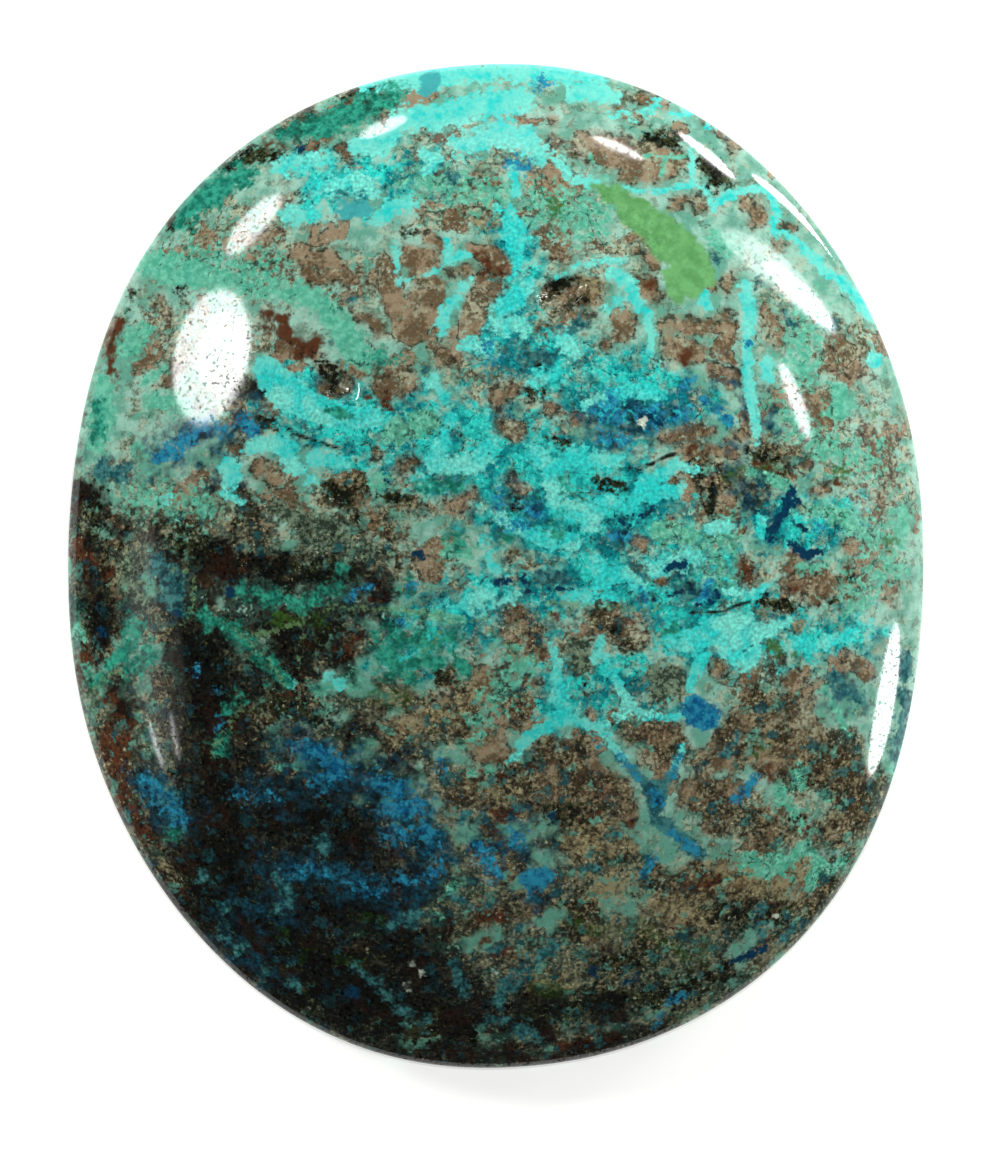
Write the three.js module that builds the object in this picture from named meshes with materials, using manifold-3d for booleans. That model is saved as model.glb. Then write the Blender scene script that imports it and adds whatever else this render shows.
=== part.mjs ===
// Polished oval cabochon of azurite with chrysocolla and malachite in brown copper ore.
// One piece of stone: a flat back, a narrow bevel, a girdle for a bezel and a low dome.
// Millimetres, +Z up. The origin is the middle of the flat back, +Y runs along the oval.

import * as THREE from 'three';
import { mergeVertices } from 'three/addons/utils/BufferGeometryUtils.js';
import Module from 'manifold-3d';

const wasm = await Module();
wasm.setup();

// Driving dimensions of the stone
const LENGTH = 32.0;
const WIDTH = 27.3;
const THICKNESS = 6.6;
const GIRDLE_TOP = 2.1; // where the girdle ends and the dome begins
const GIRDLE_LEAN = 0.1; // how far the girdle leans in on its way up
const BEVEL = 0.45; // width and height of the bevel round the flat back

// Shape of the oval and of the dome
const OVAL_POWER = 2.13; // 2 is an ellipse, and more is squarer at the shoulders
const DOME_FULLNESS = 2.15; // more is flatter on top
const DOME_ARCH = 0.85; // 0.5 is an arch that drops straight into the girdle, and more meets it at an edge
const WOBBLE_DEPTH = 0.05; // how far the hand-ground outline wanders
const WOBBLE_LOBES = 6;
const WOBBLE_START = Math.PI / 12; // first lobe from +X, which leaves length and width as they are

// How finely the surface is divided
const SEGMENTS = 96;
const DOME_RINGS = 22;
const BEVEL_RINGS = 3;
const PIT_SEGMENTS = 12;

// Open pits in the polished dome: place, size over X and Y, turn about Z and depth
const PITS = [
  { x: -4.61, y: 5.76, length: 1.05, width: 0.78, turn: 0.25, depth: 0.3 },
  { x: 2.45, y: 8.56, length: 1.6, width: 0.8, turn: 0.2, depth: 0.3 },
];

const HALF_LENGTH = LENGTH / 2;
const HALF_WIDTH = WIDTH / 2;
const DOME_HEIGHT = THICKNESS - GIRDLE_TOP;
const DOME_RADIUS = HALF_WIDTH - GIRDLE_LEAN;

const ORE_COLOUR = 0x4d6f66;
const ORE_ROUGHNESS = 0.16;

// Height of the dome at a share of the way out from the middle, 0 to 1.
function domeHeight(share) {
  const drop = Math.min(share, 1) ** DOME_FULLNESS;
  return GIRDLE_TOP + DOME_HEIGHT * Math.max(1 - drop, 0) ** DOME_ARCH;
}

// The stone's section over its short axis, from the middle of the back to the top of the dome.
function sectionPoints() {
  const points = [new THREE.Vector2(0, 0)];
  for (let i = 0; i <= BEVEL_RINGS; i++) {
    const angle = (i / BEVEL_RINGS) * (Math.PI / 2);
    const out = HALF_WIDTH - BEVEL * (1 - Math.sin(angle));
    points.push(new THREE.Vector2(out, BEVEL * (1 - Math.cos(angle))));
  }
  for (let i = 0; i <= DOME_RINGS; i++) {
    const angle = (i / DOME_RINGS) * (Math.PI / 2);
    const share = i === DOME_RINGS ? 0 : Math.cos(angle);
    points.push(new THREE.Vector2(share * DOME_RADIUS, domeHeight(share)));
  }
  return points;
}

// Distance from the middle to the oval's edge in a direction.
function ovalReach(angle) {
  const across = Math.abs(Math.cos(angle) / HALF_WIDTH) ** OVAL_POWER;
  const along = Math.abs(Math.sin(angle) / HALF_LENGTH) ** OVAL_POWER;
  const reach = (across + along) ** (-1 / OVAL_POWER);
  return reach + WOBBLE_DEPTH * Math.cos(WOBBLE_LOBES * (angle - WOBBLE_START));
}

// Moves a vertex of the round blank out to the oval that was ground from it.
function roundToOval(x, y) {
  const angle = Math.atan2(y, x);
  const radius = (Math.hypot(x, y) / HALF_WIDTH) * ovalReach(angle);
  return [radius * Math.cos(angle), radius * Math.sin(angle)];
}

// The blank is turned about Z as a round stone, and then ground to the oval.
function cabochonBlank() {
  const blank = new THREE.LatheGeometry(sectionPoints(), SEGMENTS).rotateX(Math.PI / 2);
  const position = blank.getAttribute('position');
  for (let i = 0; i < position.count; i++) {
    const [x, y] = roundToOval(position.getX(i), position.getY(i));
    position.setXY(i, x, y);
  }
  return blank;
}

// Height of the polished surface over a point of the back.
function surfaceHeight(x, y) {
  const share = Math.hypot(x, y) / ovalReach(Math.atan2(y, x));
  return domeHeight((share * HALF_WIDTH) / DOME_RADIUS);
}

// The bowl that a pit takes out of the dome: the lower half of a flattened ball.
function pitBowl({ x, y, length, width, turn, depth }) {
  return new THREE.SphereGeometry(0.5, PIT_SEGMENTS, PIT_SEGMENTS / 2)
    .scale(length, width, 2 * depth)
    .rotateZ(turn)
    .translate(x, y, surfaceHeight(x, y));
}

// A closed geometry as a solid for joining and cutting.
function toSolid(geometry) {
  const bare = geometry.clone();
  bare.deleteAttribute('normal');
  bare.deleteAttribute('uv');
  const merged = mergeVertices(bare);
  const vertProperties = merged.getAttribute('position').array;
  const triVerts = new Uint32Array(merged.index.array);
  return new wasm.Manifold(new wasm.Mesh({ numProp: 3, vertProperties, triVerts }));
}

// A solid back as a geometry.
function toGeometry(solid) {
  const { vertProperties, triVerts } = solid.getMesh();
  const geometry = new THREE.BufferGeometry();
  geometry.setAttribute('position', new THREE.BufferAttribute(vertProperties, 3));
  geometry.setIndex(new THREE.BufferAttribute(triVerts, 1));
  geometry.computeVertexNormals();
  return geometry;
}

// The whole stone, with its pits open to the dome.
function cabochon() {
  const solid = PITS.reduce(
    (stone, pit) => stone.subtract(toSolid(pitBowl(pit))),
    toSolid(cabochonBlank()),
  );
  const polish = new THREE.MeshStandardMaterial({
    color: ORE_COLOUR,
    roughness: ORE_ROUGHNESS,
    metalness: 0,
  });
  const mesh = new THREE.Mesh(toGeometry(solid), polish);
  mesh.name = 'cabochon';
  return mesh;
}

const specimen = new THREE.Group();
specimen.name = 'azurite_specimen';
specimen.add(cabochon());

export default specimen;
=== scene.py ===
import math

import bpy
import numpy as np
from bpy.props import FloatProperty, FloatVectorProperty, PointerProperty
from mathutils import Matrix, Vector
from mathutils.kdtree import KDTree
from mathutils.noise import noise_vector, seed_set, turbulence_vector


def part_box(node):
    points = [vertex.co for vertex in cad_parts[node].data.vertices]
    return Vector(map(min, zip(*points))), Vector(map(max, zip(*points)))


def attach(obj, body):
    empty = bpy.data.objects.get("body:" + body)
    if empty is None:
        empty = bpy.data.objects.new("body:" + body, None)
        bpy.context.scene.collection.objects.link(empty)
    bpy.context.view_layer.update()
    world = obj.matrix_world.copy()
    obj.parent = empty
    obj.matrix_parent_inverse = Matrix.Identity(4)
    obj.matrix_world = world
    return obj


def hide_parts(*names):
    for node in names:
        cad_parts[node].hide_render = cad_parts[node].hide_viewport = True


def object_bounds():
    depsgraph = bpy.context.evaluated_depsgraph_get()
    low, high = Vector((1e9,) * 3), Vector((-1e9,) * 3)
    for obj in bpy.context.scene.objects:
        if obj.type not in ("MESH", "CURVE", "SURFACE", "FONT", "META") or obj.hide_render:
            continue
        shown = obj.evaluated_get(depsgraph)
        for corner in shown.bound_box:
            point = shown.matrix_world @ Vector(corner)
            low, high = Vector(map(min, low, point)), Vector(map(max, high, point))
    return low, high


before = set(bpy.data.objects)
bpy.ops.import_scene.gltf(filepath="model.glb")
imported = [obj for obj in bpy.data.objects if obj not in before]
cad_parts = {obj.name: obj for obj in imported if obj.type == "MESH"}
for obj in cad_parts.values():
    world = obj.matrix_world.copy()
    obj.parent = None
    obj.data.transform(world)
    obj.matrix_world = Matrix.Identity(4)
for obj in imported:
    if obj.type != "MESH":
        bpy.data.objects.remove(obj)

bl_info = {
    "name": "Azurite Cabochon",
    "version": (1, 0, 0),
    "blender": (4, 5, 0),
    "location": "View3D > Sidebar > Cabochon",
    "description": "Builds a polished azurite cabochon and a plain stage for it",
    "category": "Add Mesh",
}

CAD_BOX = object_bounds()
STONE_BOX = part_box("cabochon")
MM = 0.001

# Sizes of the cut that the frame's box doesn't give, in metres
WIDTH = 0.0273
GIRDLE_TOP = 0.0021
GIRDLE_LEAN = 0.0001
BEVEL = 0.00045

# Keeps the wandering outline inside the frame's box, in metres
TRIM = 0.00001

# How finely the stone is divided. The back has a quarter of the dome's steps, over most of its width.
DOME_STEPS = 280
BACK_STEPS = 70
GIRDLE_RINGS = 5
BEVEL_RINGS = 4
FLAT_SHARE = 0.97
PROFILE_SAMPLES = 4000

# Outline that was ground by hand, and the dome over it
OVAL_POWER = 2.13
DOME_FULLNESS = 2.15
DOME_ARCH = 0.85
WOBBLE_DEPTH = 0.05
WOBBLE_LOBES = 6
WOBBLE_START = math.pi / 12

# Open pits in the dome: place, size over X and Y, turn about Z in radians and depth, all else in millimetres
PITS = (
    (-4.61, 5.76, 1.05, 0.78, 0.25, 0.3),
    (2.45, 8.56, 1.6, 0.8, 0.2, 0.3),
)

# Ragged edges and steep sides of the pits
PIT_LOBES = 3.0
PIT_RAGGEDNESS = 0.2
PIT_STEEPNESS = 0.7

# Surface map: half height and middle of the dome and of the back, and the girdle's two strips
DOME_MAP_SIZE = 0.41
DOME_MAP_MIDDLE = (0.36, 0.575)
BACK_MAP_SIZE = 0.15
BACK_MAP_MIDDLE = (0.85, 0.35)
STRIP_START = 0.01
STRIP_LENGTH = 0.98
STRIP_SPACING = 0.07
STRIP_WIDTH = 0.06

# Veins lean as they go down through the stone: millimetres sideways for each millimetre of depth
VEIN_LEAN = (0.18, -0.28)

# Broken grains of rock that the cement joins: how far apart, and how far their edges bend, in millimetres
CLAST_SPACING = 1.15
CLAST_BEND = 0.4
CLAST_SEED = 11

# Broad noises on the mesh: parts in use, start in millimetres, waves in a millimetre and finer waves
CLOUD_PARTS = "abc"
CLOUDS = {
    "tone": ("abc", (7.3, -19.1, 13.7), 0.9, 4),
    "line": ("ac", (-23.2, 3.4, 19.6), 2.2, 2),
}
CLOUD_FINENESS = 0.6
CLOUD_SPREAD = 0.6
NOISE_SEED = 2

# Fine noises in the shader: start in millimetres, waves in a millimetre, finer waves and their strength
EDGE_NOISE = ((0.0, 0.0, 0.0), 2.4, 2.0, 0.55)
FINE_EDGE_NOISE = ((31.0, 17.0, 5.0), 4.4, 2.0, 0.6)
GRAIN_NOISE = ((3.0, 29.0, -11.0), 9.0, 1.5, 0.5)
NOISE_GAIN = 5.0

# Small grains in the shader: how many in a millimetre, and how far the fine edges bend them
GRAIN_SCALE = 3.2
GRAIN_BEND = 0.08

# How far noise goes from a mineral's dark tone to its light one, and the share of a line's width that is full
TONE_SPREAD = 0.9
LINE_CORE = 0.15

# Polish of the ore
ORE_ROUGHNESS = 0.065
ORE_SMOOTHING = 0.02
ORE_IOR = 1.53
ORE_GLOSS = 0.5
PORE_DULLING = 0.42

# How far a patch's edge wanders, in millimetres, and how many times that far a field is followed
CLEAN = 0.12
RAGGED = 0.24
CLOUDY = 0.5
FLECKED = 0.8
FIELD_LIMIT = 3.0

# Reach outside every mark, and the least square of a stroke's length, which lets a spot be a stroke too
FAR_OUTSIDE = -1.0e3
LEAST_SQUARE = 1.0e-9


def spots(half_width, places):
    """Marks that are single spots of one size."""
    return tuple(((x, y, half_width),) for x, y in places)


# Patches and veins on the dome, in groups whose edges wander alike.
# A mark is a row of points: x, y and half width in millimetres.
EARTH = (
    (FLECKED, (
        ((-5.0, 2.4, 0.3), (-4.0, 1.9, 0.4), (-3.0, 1.6, 0.3)),
        ((-8.6, 1.9, 0.4), (-7.6, 2.2, 0.4)),
        ((-4.8, -4.0, 0.7), (-3.4, -4.2, 0.7), (-2.2, -4.2, 0.4)),
        ((-4.4, 0.0, 0.5), (-3.2, -0.4, 0.5)),
        ((-5.8, 13.9, 0.5), (-4.6, 14.4, 0.5), (-3.4, 14.8, 0.4)),
        ((7.0, 2.3, 0.4), (8.2, 1.9, 0.4), (9.0, 2.9, 0.3)),
        ((0.6, -10.6, 0.9), (2.6, -10.4, 1.1)),
        ((-1.6, -6.8, 0.8), (-0.6, -8.0, 0.8), (-0.2, -9.4, 0.8)),
        ((-11.6, 1.0, 0.6), (-11.3, -0.8, 0.6), (-11.0, -1.8, 0.3)),
        ((-12.6, -4.4, 1.0), (-11.6, -8.0, 1.2), (-9.6, -10.6, 1.4), (-6.0, -12.6, 1.8), (-1.0, -13.6, 1.8)),
        ((-1.0, -13.6, 1.8), (4.0, -12.6, 2.1), (7.8, -11.2, 0.6)),
        ((-8.5, -7.5, 2.0), (-5.0, -9.0, 2.4), (-1.5, -10.5, 2.0)),
        ((-3.6, -5.2, 0.6), (-1.5, -4.9, 0.8), (0.2, -4.3, 0.5)),
        ((0.6, -6.6, 0.9), (2.4, -7.6, 1.6), (3.2, -9.2, 1.2), (5.5, -10.8, 1.0)),
        ((4.7, -5.8, 0.6),),
        ((6.8, -6.4, 0.6), (8.4, -5.4, 1.0), (10.0, -6.4, 1.0), (11.2, -7.4, 0.7), (10.6, -9.0, 0.6)),
        ((8.2, -8.4, 0.6), (6.2, -7.6, 0.5)),
        ((-13.0, 2.6, 0.6), (-12.6, 0.2, 0.9), (-12.8, -2.0, 0.6)),
        ((-11.0, 1.4, 0.5), (-9.0, 0.7, 0.8), (-6.6, 0.4, 0.7), (-4.6, 0.7, 0.6)),
        ((-9.4, -2.4, 1.4), (-7.0, -4.2, 1.2), (-6.2, -2.4, 0.7), (-4.6, -2.2, 0.5)),
        ((-7.5, -5.5, 1.0), (-4.8, -5.2, 0.5)),
        ((-13.3, -3.0, 0.5), (-12.7, -6.4, 0.7), (-11.0, -9.9, 0.7), (-8.2, -12.9, 0.8), (-4.2, -15.2, 0.8)),
        ((-4.2, -15.2, 0.8), (0.0, -16.0, 0.9), (4.2, -15.2, 0.9), (8.0, -13.0, 0.8), (10.6, -10.4, 0.7)),
        ((10.6, -10.4, 0.7), (12.0, -8.0, 0.5)),
        ((-10.8, -3.2, 0.9), (-10.6, -5.4, 1.0)),
        *spots(0.4, ((3.6, -2.0), (0.6, -2.0))),
    )),
)
# Dark rock over the lower left and along the bottom rim, partly painted shade: the colour is darkened where
# these marks lie.
STAIN_AND_SHADE = (
    (FLECKED, (
        ((-9.6, -1.8, 1.2), (-9.0, -4.6, 1.6), (-8.8, -7.6, 2.2), (-7.4, -10.6, 2.4), (-4.0, -13.0, 1.9)),
        ((-6.6, -7.8, 2.2), (-4.6, -9.6, 1.6), (-3.2, -11.4, 1.2)),
        ((-4.0, -13.0, 1.9), (0.2, -14.2, 0.9), (3.6, -14.2, 0.2)),
        ((-10.6, 0.8, 0.6), (-8.4, -0.6, 1.2), (-5.6, -0.8, 1.1), (-3.6, -1.2, 0.6)),
        ((-7.4, -3.0, 1.0), (-5.4, -2.6, 0.6)),
        ((-12.8, 0.6, 0.7), (-12.6, -1.8, 0.5), (-12.2, -3.4, 0.2)),
        ((-4.8, -5.2, 0.5), (-3.6, -6.2, 0.5)),
        ((-12.8, 3.0, 0.4), (-12.0, 2.0, 0.4)),
        ((-11.4, -9.4, 0.5), (-8.4, -12.9, 0.7), (-4.2, -15.3, 0.9), (0.0, -16.0, 0.9), (4.2, -15.3, 0.7)),
    )),
)
CEMENT = (
    (FLECKED, (
        ((-6.2, 5.3, 0.8), (-3.4, 4.4, 1.0), (0.2, 3.2, 1.5), (3.4, 1.2, 2.0)),
        ((3.4, 1.2, 2.0), (6.4, -1.4, 1.7), (8.4, -2.6, 0.9)),
        ((1.0, -1.2, 0.8), (-1.2, -1.4, 0.6), (-3.2, -2.6, 0.4)),
        ((2.0, -4.2, 0.7), (4.0, -4.2, 0.8)),
        ((0.6, 7.0, 0.7), (2.4, 6.0, 0.9), (4.6, 5.0, 0.9), (6.4, 4.6, 0.5)),
        ((0.9, 10.6, 0.3), (1.0, 8.2, 0.5)),
        ((-5.2, 12.2, 0.4), (-1.5, 12.8, 0.2)),
        ((9.2, 1.0, 0.6), (11.0, 1.0, 0.5)),
        ((9.6, -2.8, 0.5), (11.2, -2.6, 0.3)),
    )),
)
GRIT = (
    (FLECKED, (
        ((-1.0, 10.6, 0.5), (0.2, 10.2, 0.5)),
        ((7.0, -9.6, 0.4), (7.9, -9.5, 0.4), (8.6, -10.1, 0.4)),
        ((-10.4, 8.0, 0.5), (-9.8, 6.6, 0.6), (-10.2, 5.8, 0.5)),
        ((-8.6, 10.4, 0.6), (-7.4, 10.2, 0.7), (-6.0, 9.9, 0.7)),
        ((-8.0, 5.2, 0.5), (-9.2, 4.9, 0.5)),
        ((-7.4, 7.4, 0.4), (-6.6, 6.7, 0.4)),
        ((5.2, 1.3, 0.5), (6.4, 1.0, 0.6), (7.6, 0.8, 0.5)),
        ((11.4, 3.4, 0.6), (12.4, 2.2, 0.5), (12.3, 0.4, 0.4)),
        ((8.4, 0.0, 0.4), (9.4, -0.2, 0.3)),
        ((-8.8, 10.0, 0.5), (-7.0, 9.6, 0.5), (-5.2, 9.6, 0.7), (-3.9, 8.6, 0.5)),
        ((-10.6, 7.7, 0.4), (-9.9, 7.0, 0.3)),
        ((-8.4, 6.0, 0.4), (-7.4, 5.2, 0.5)),
        ((-1.6, 12.2, 0.6), (-0.4, 11.6, 0.8), (0.4, 10.9, 0.6)),
        ((-0.4, 13.0, 0.5), (0.6, 12.6, 0.5), (1.6, 13.2, 0.4)),
        ((1.8, 10.9, 0.7), (3.2, 10.2, 0.8), (4.4, 9.7, 0.4)),
        ((-0.6, 6.3, 0.4), (0.8, 5.6, 0.6), (2.2, 4.9, 0.6)),
        ((1.4, 7.8, 0.2), (2.7, 7.5, 0.3)),
        ((9.4, 7.4, 0.5), (10.6, 6.6, 0.7), (11.4, 5.8, 0.6)),
        ((9.8, 5.4, 0.6), (11.2, 4.0, 0.9), (12.4, 3.4, 0.5)),
        ((10.8, 2.4, 0.6), (12.2, 1.6, 0.5)),
        ((5.2, 3.9, 0.5), (7.2, 3.6, 0.5), (8.6, 3.3, 0.4)),
        ((7.0, 1.8, 0.6), (8.2, 2.0, 0.5)),
        ((4.6, 0.4, 0.4), (6.2, 0.2, 0.5), (7.6, -0.4, 0.6), (8.6, -1.0, 0.5)),
        ((9.4, -0.8, 0.5), (10.8, -1.0, 0.5), (11.6, -0.4, 0.4)),
        ((-2.9, 3.2, 0.4), (-2.4, 1.8, 0.6), (-1.2, 1.9, 0.5)),
        ((-3.4, 0.6, 0.5), (-1.6, -0.2, 0.5)),
        ((0.4, 0.2, 0.3), (1.2, -0.3, 0.3)),
        ((0.4, -2.2, 0.7), (1.6, -2.9, 0.5), (3.4, -2.0, 0.6), (4.6, -2.2, 0.5)),
        ((-0.6, -2.9, 0.5), (-1.2, -4.2, 0.6)),
        ((4.9, -3.8, 0.5), (5.6, -3.8, 0.4)),
        ((2.7, -3.4, 0.4), (2.6, -2.8, 0.4)),
        ((8.6, -3.8, 0.5), (9.6, -3.8, 0.4)),
        ((-6.6, 2.6, 0.5), (-5.2, 1.8, 0.6), (-3.8, 1.2, 0.5)),
        ((-11.6, 2.4, 0.5), (-9.6, 2.2, 0.6), (-8.4, 1.8, 0.5)),
        ((7.4, -8.6, 0.5), (9.0, -8.0, 0.6)),
    )),
)
BLUE = (
    (FLECKED, (
        ((-8.8, 3.3, 0.2), (-7.8, 5.0, 0.2)),
        ((8.4, 1.4, 0.2), (7.6, 2.8, 0.1)),
        ((7.6, 5.4, 0.1), (8.6, 4.2, 0.1)),
        ((-7.6, -9.2, 0.4), (-6.0, -9.5, 0.5), (-4.6, -9.9, 0.4), (-3.2, -10.6, 0.3)),
        ((-6.4, -5.4, 0.4), (-5.4, -6.2, 0.7), (-3.8, -6.9, 0.6), (-2.8, -7.8, 0.6), (-2.3, -9.0, 0.6)),
        ((-2.3, -9.0, 0.6), (-2.6, -10.0, 0.3)),
        ((-7.6, -6.6, 0.3), (-6.6, -7.0, 0.4)),
        ((-0.6, -8.8, 0.3), (0.3, -8.7, 0.3)),
        ((0.9, -10.0, 0.4),),
        ((-11.2, -6.6, 0.4), (-10.4, -7.5, 0.4)),
        ((-8.6, -10.6, 0.2), (-7.0, -10.6, 0.2)),
        ((-9.0, -11.6, 0.1), (-7.4, -12.8, 0.1)),
        ((3.2, 4.8, 0.3), (4.4, 4.6, 0.5), (5.6, 4.7, 0.3)),
        ((3.8, 3.8, 0.2),),
        ((-10.4, 3.9, 0.2), (-9.4, 4.4, 0.2), (-8.2, 4.7, 0.2)),
        ((1.2, 1.7, 0.2), (0.4, 1.9, 0.1)),
        ((3.9, 1.0, 0.2), (4.6, 1.3, 0.1)),
        ((5.8, -0.3, 0.2), (6.5, -1.1, 0.2)),
        ((10.8, -4.3, 0.3),),
    )),
)
# Black rock. Some marks are partly painted shade: the lower left, a finger's shadow at the upper left rim,
# and the hollows of the two pits.
SOOT_AND_SHADE = (
    (CLOUDY, (
        # Dark rock of the lower left, partly painted shade.
        ((-9.5, -2.2, 0.8), (-9.0, -3.8, 0.8), (-9.2, -5.6, 0.4), (-9.0, -7.4, 0.8), (-9.2, -9.6, 1.1)),
        ((-9.2, -9.6, 1.1), (-8.0, -11.4, 1.2), (-6.0, -12.8, 1.2), (-4.0, -13.9, 0.9), (-1.5, -14.6, 0.6)),
        ((-7.0, -7.6, 0.8), (-5.4, -7.8, 0.6), (-4.6, -8.8, 0.5)),
        ((-6.4, -10.6, 0.8), (-4.4, -10.6, 0.5), (-3.4, -11.8, 0.6), (-2.8, -12.8, 0.5)),
        ((-9.9, 1.0, 0.5), (-8.4, 0.5, 0.4), (-6.5, 0.1, 0.35), (-4.6, -0.1, 0.3)),
        ((-7.2, -1.7, 0.4), (-6.2, -2.2, 0.5), (-5.0, -1.7, 0.4)),
        ((-6.9, -4.2, 0.6), (-5.6, -4.6, 0.3)),
        ((-12.6, 2.6, 0.3), (-12.6, 1.4, 0.3)),
        ((-12.8, -0.8, 0.4), (-12.6, -1.8, 0.3)),
        ((0.6, -14.3, 0.4), (3.0, -13.8, 0.4), (5.0, -13.7, 0.4), (6.8, -13.1, 0.3)),
        ((3.0, -12.6, 0.3), (4.3, -12.5, 0.25)),
        ((6.6, -11.2, 0.3), (8.6, -11.4, 0.3)),
        ((2.2, -7.9, 0.3), (1.4, -7.8, 0.3)),
    )),
    (RAGGED, (
        ((-5.0, 14.0, 0.14), (-4.4, 14.3, 0.16)),
        ((7.9, 1.7, 0.16), (8.4, 1.6, 0.16)),
        ((-5.3, 6.5, 0.2), (-4.9, 6.2, 0.24)),
        # Partly painted shadow of a finger at the upper left rim, in this mark and the next.
        ((-9.9, 11.2, 0.22), (-9.5, 11.9, 0.2)),
        ((-8.9, 12.9, 0.22), (-8.0, 13.4, 0.24)),
        ((8.4, -1.4, 0.14), (9.4, -1.7, 0.16)),
        ((6.3, 2.9, 0.12), (6.6, 2.6, 0.14)),
        ((-12.4, -0.6, 0.35), (-12.5, -1.6, 0.25)),
        ((8.3, -11.2, 0.25), (8.9, -11.1, 0.2)),
        ((7.1, 12.5, 0.3), (7.6, 12.1, 0.3), (7.2, 11.75, 0.16), (7.8, 11.8, 0.16)),
        ((5.3, 13.4, 0.16), (6.1, 13.2, 0.2)),
        # Partly painted shadow of a finger at the upper left rim, in this mark and the next.
        ((-8.2, 12.9, 0.2), (-7.2, 13.3, 0.28), (-6.3, 13.2, 0.18)),
        ((-9.4, 11.5, 0.2), (-9.3, 11.1, 0.2)),
        ((-7.2, 4.8, 0.24), (-6.9, 4.7, 0.18)),
        ((-5.2, 2.7, 0.2), (-4.7, 2.3, 0.24), (-4.5, 2.1, 0.18)),
        ((-3.6, 2.3, 0.18), (-2.6, 2.2, 0.18)),
        ((3.3, 2.5, 0.18), (3.7, 2.3, 0.26), (4.0, 2.3, 0.14)),
        ((2.0, 3.9, 0.14), (2.4, 3.8, 0.14)),
        ((6.9, 2.1, 0.22), (6.8, 1.6, 0.22), (6.9, 1.2, 0.14)),
        ((8.2, 3.2, 0.16), (8.9, 3.1, 0.16)),
        ((-7.9, 5.9, 0.35), (-7.2, 5.8, 0.2)),
        ((-2.4, 10.6, 0.14), (-2.2, 10.6, 0.1)),
        ((-1.9, -3.4, 0.25),),
        ((-4.3, 15.0, 0.12), (-3.6, 15.2, 0.1)),
        # Painted shade in the hollows of the two pits, in this mark and the next two.
        ((2.0, 8.4, 0.16), (2.3, 8.8, 0.2), (2.6, 8.9, 0.12)),
        ((2.7, 8.3, 0.12), (3.2, 8.3, 0.1)),
        ((-4.85, 5.8, 0.26),),
        *spots(0.1, ((-3.3, 14.5), (-11.3, 8.3))),
        *spots(0.12, ((10.6, -1.5), (2.7, -3.9), (-10.4, 10.2), (-11.2, 9.0), (-5.5, 14.6))),
        *spots(0.2, ((-7.9, 4.1), (11.3, -0.9), (9.2, -8.4), (-5.6, -2.4))),
        *spots(0.18, ((-4.2, 1.7), (1.6, 6.4), (3.7, -2.2), (1.5, -7.9))),
        *spots(0.22, ((0.7, 1.9), (1.5, 5.4))),
        *spots(0.14, ((-9.4, 11.2), (-9.6, 9.1))),
    )),
)
TAN = (
    (CLOUDY, (
        ((7.4, -10.4, 0.4), (8.6, -10.6, 0.3)),
        ((-0.8, -6.8, 0.3), (0.2, -7.4, 0.3)),
        ((6.4, -10.2, 0.3), (7.6, -10.0, 0.5), (9.2, -9.9, 0.4)),
        ((-9.9, -5.2, 0.2), (-9.5, -5.5, 0.2)),
        ((2.8, -10.3, 0.3), (3.4, -10.3, 0.3)),
        ((-0.6, -3.8, 0.4), (-1.2, -4.4, 0.3), (-2.8, -5.0, 0.4)),
        ((2.4, -8.8, 0.5), (3.4, -8.8, 0.4)),
        ((0.8, -13.2, 0.3), (1.8, -13.3, 0.2)),
        ((4.9, -11.0, 0.3), (6.2, -11.2, 0.3)),
    )),
    (RAGGED, (
        ((-0.6, 11.9, 0.2), (0.2, 11.5, 0.24)),
        ((-0.2, 10.9, 0.2), (0.4, 10.7, 0.14)),
        ((7.2, -10.2, 0.3), (8.2, -10.4, 0.3)),
        ((7.9, -9.5, 0.15),),
        *spots(0.2, ((-8.5, 1.6), (8.6, -10.3))),
        *spots(0.14, ((6.9, -3.4), (9.5, -2.3))),
    )),
    (CLEAN, (
        ((3.0, 8.85, 0.18), (3.5, 8.65, 0.22)),
        ((11.7, 1.1, 0.15),),
    )),
)
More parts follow.
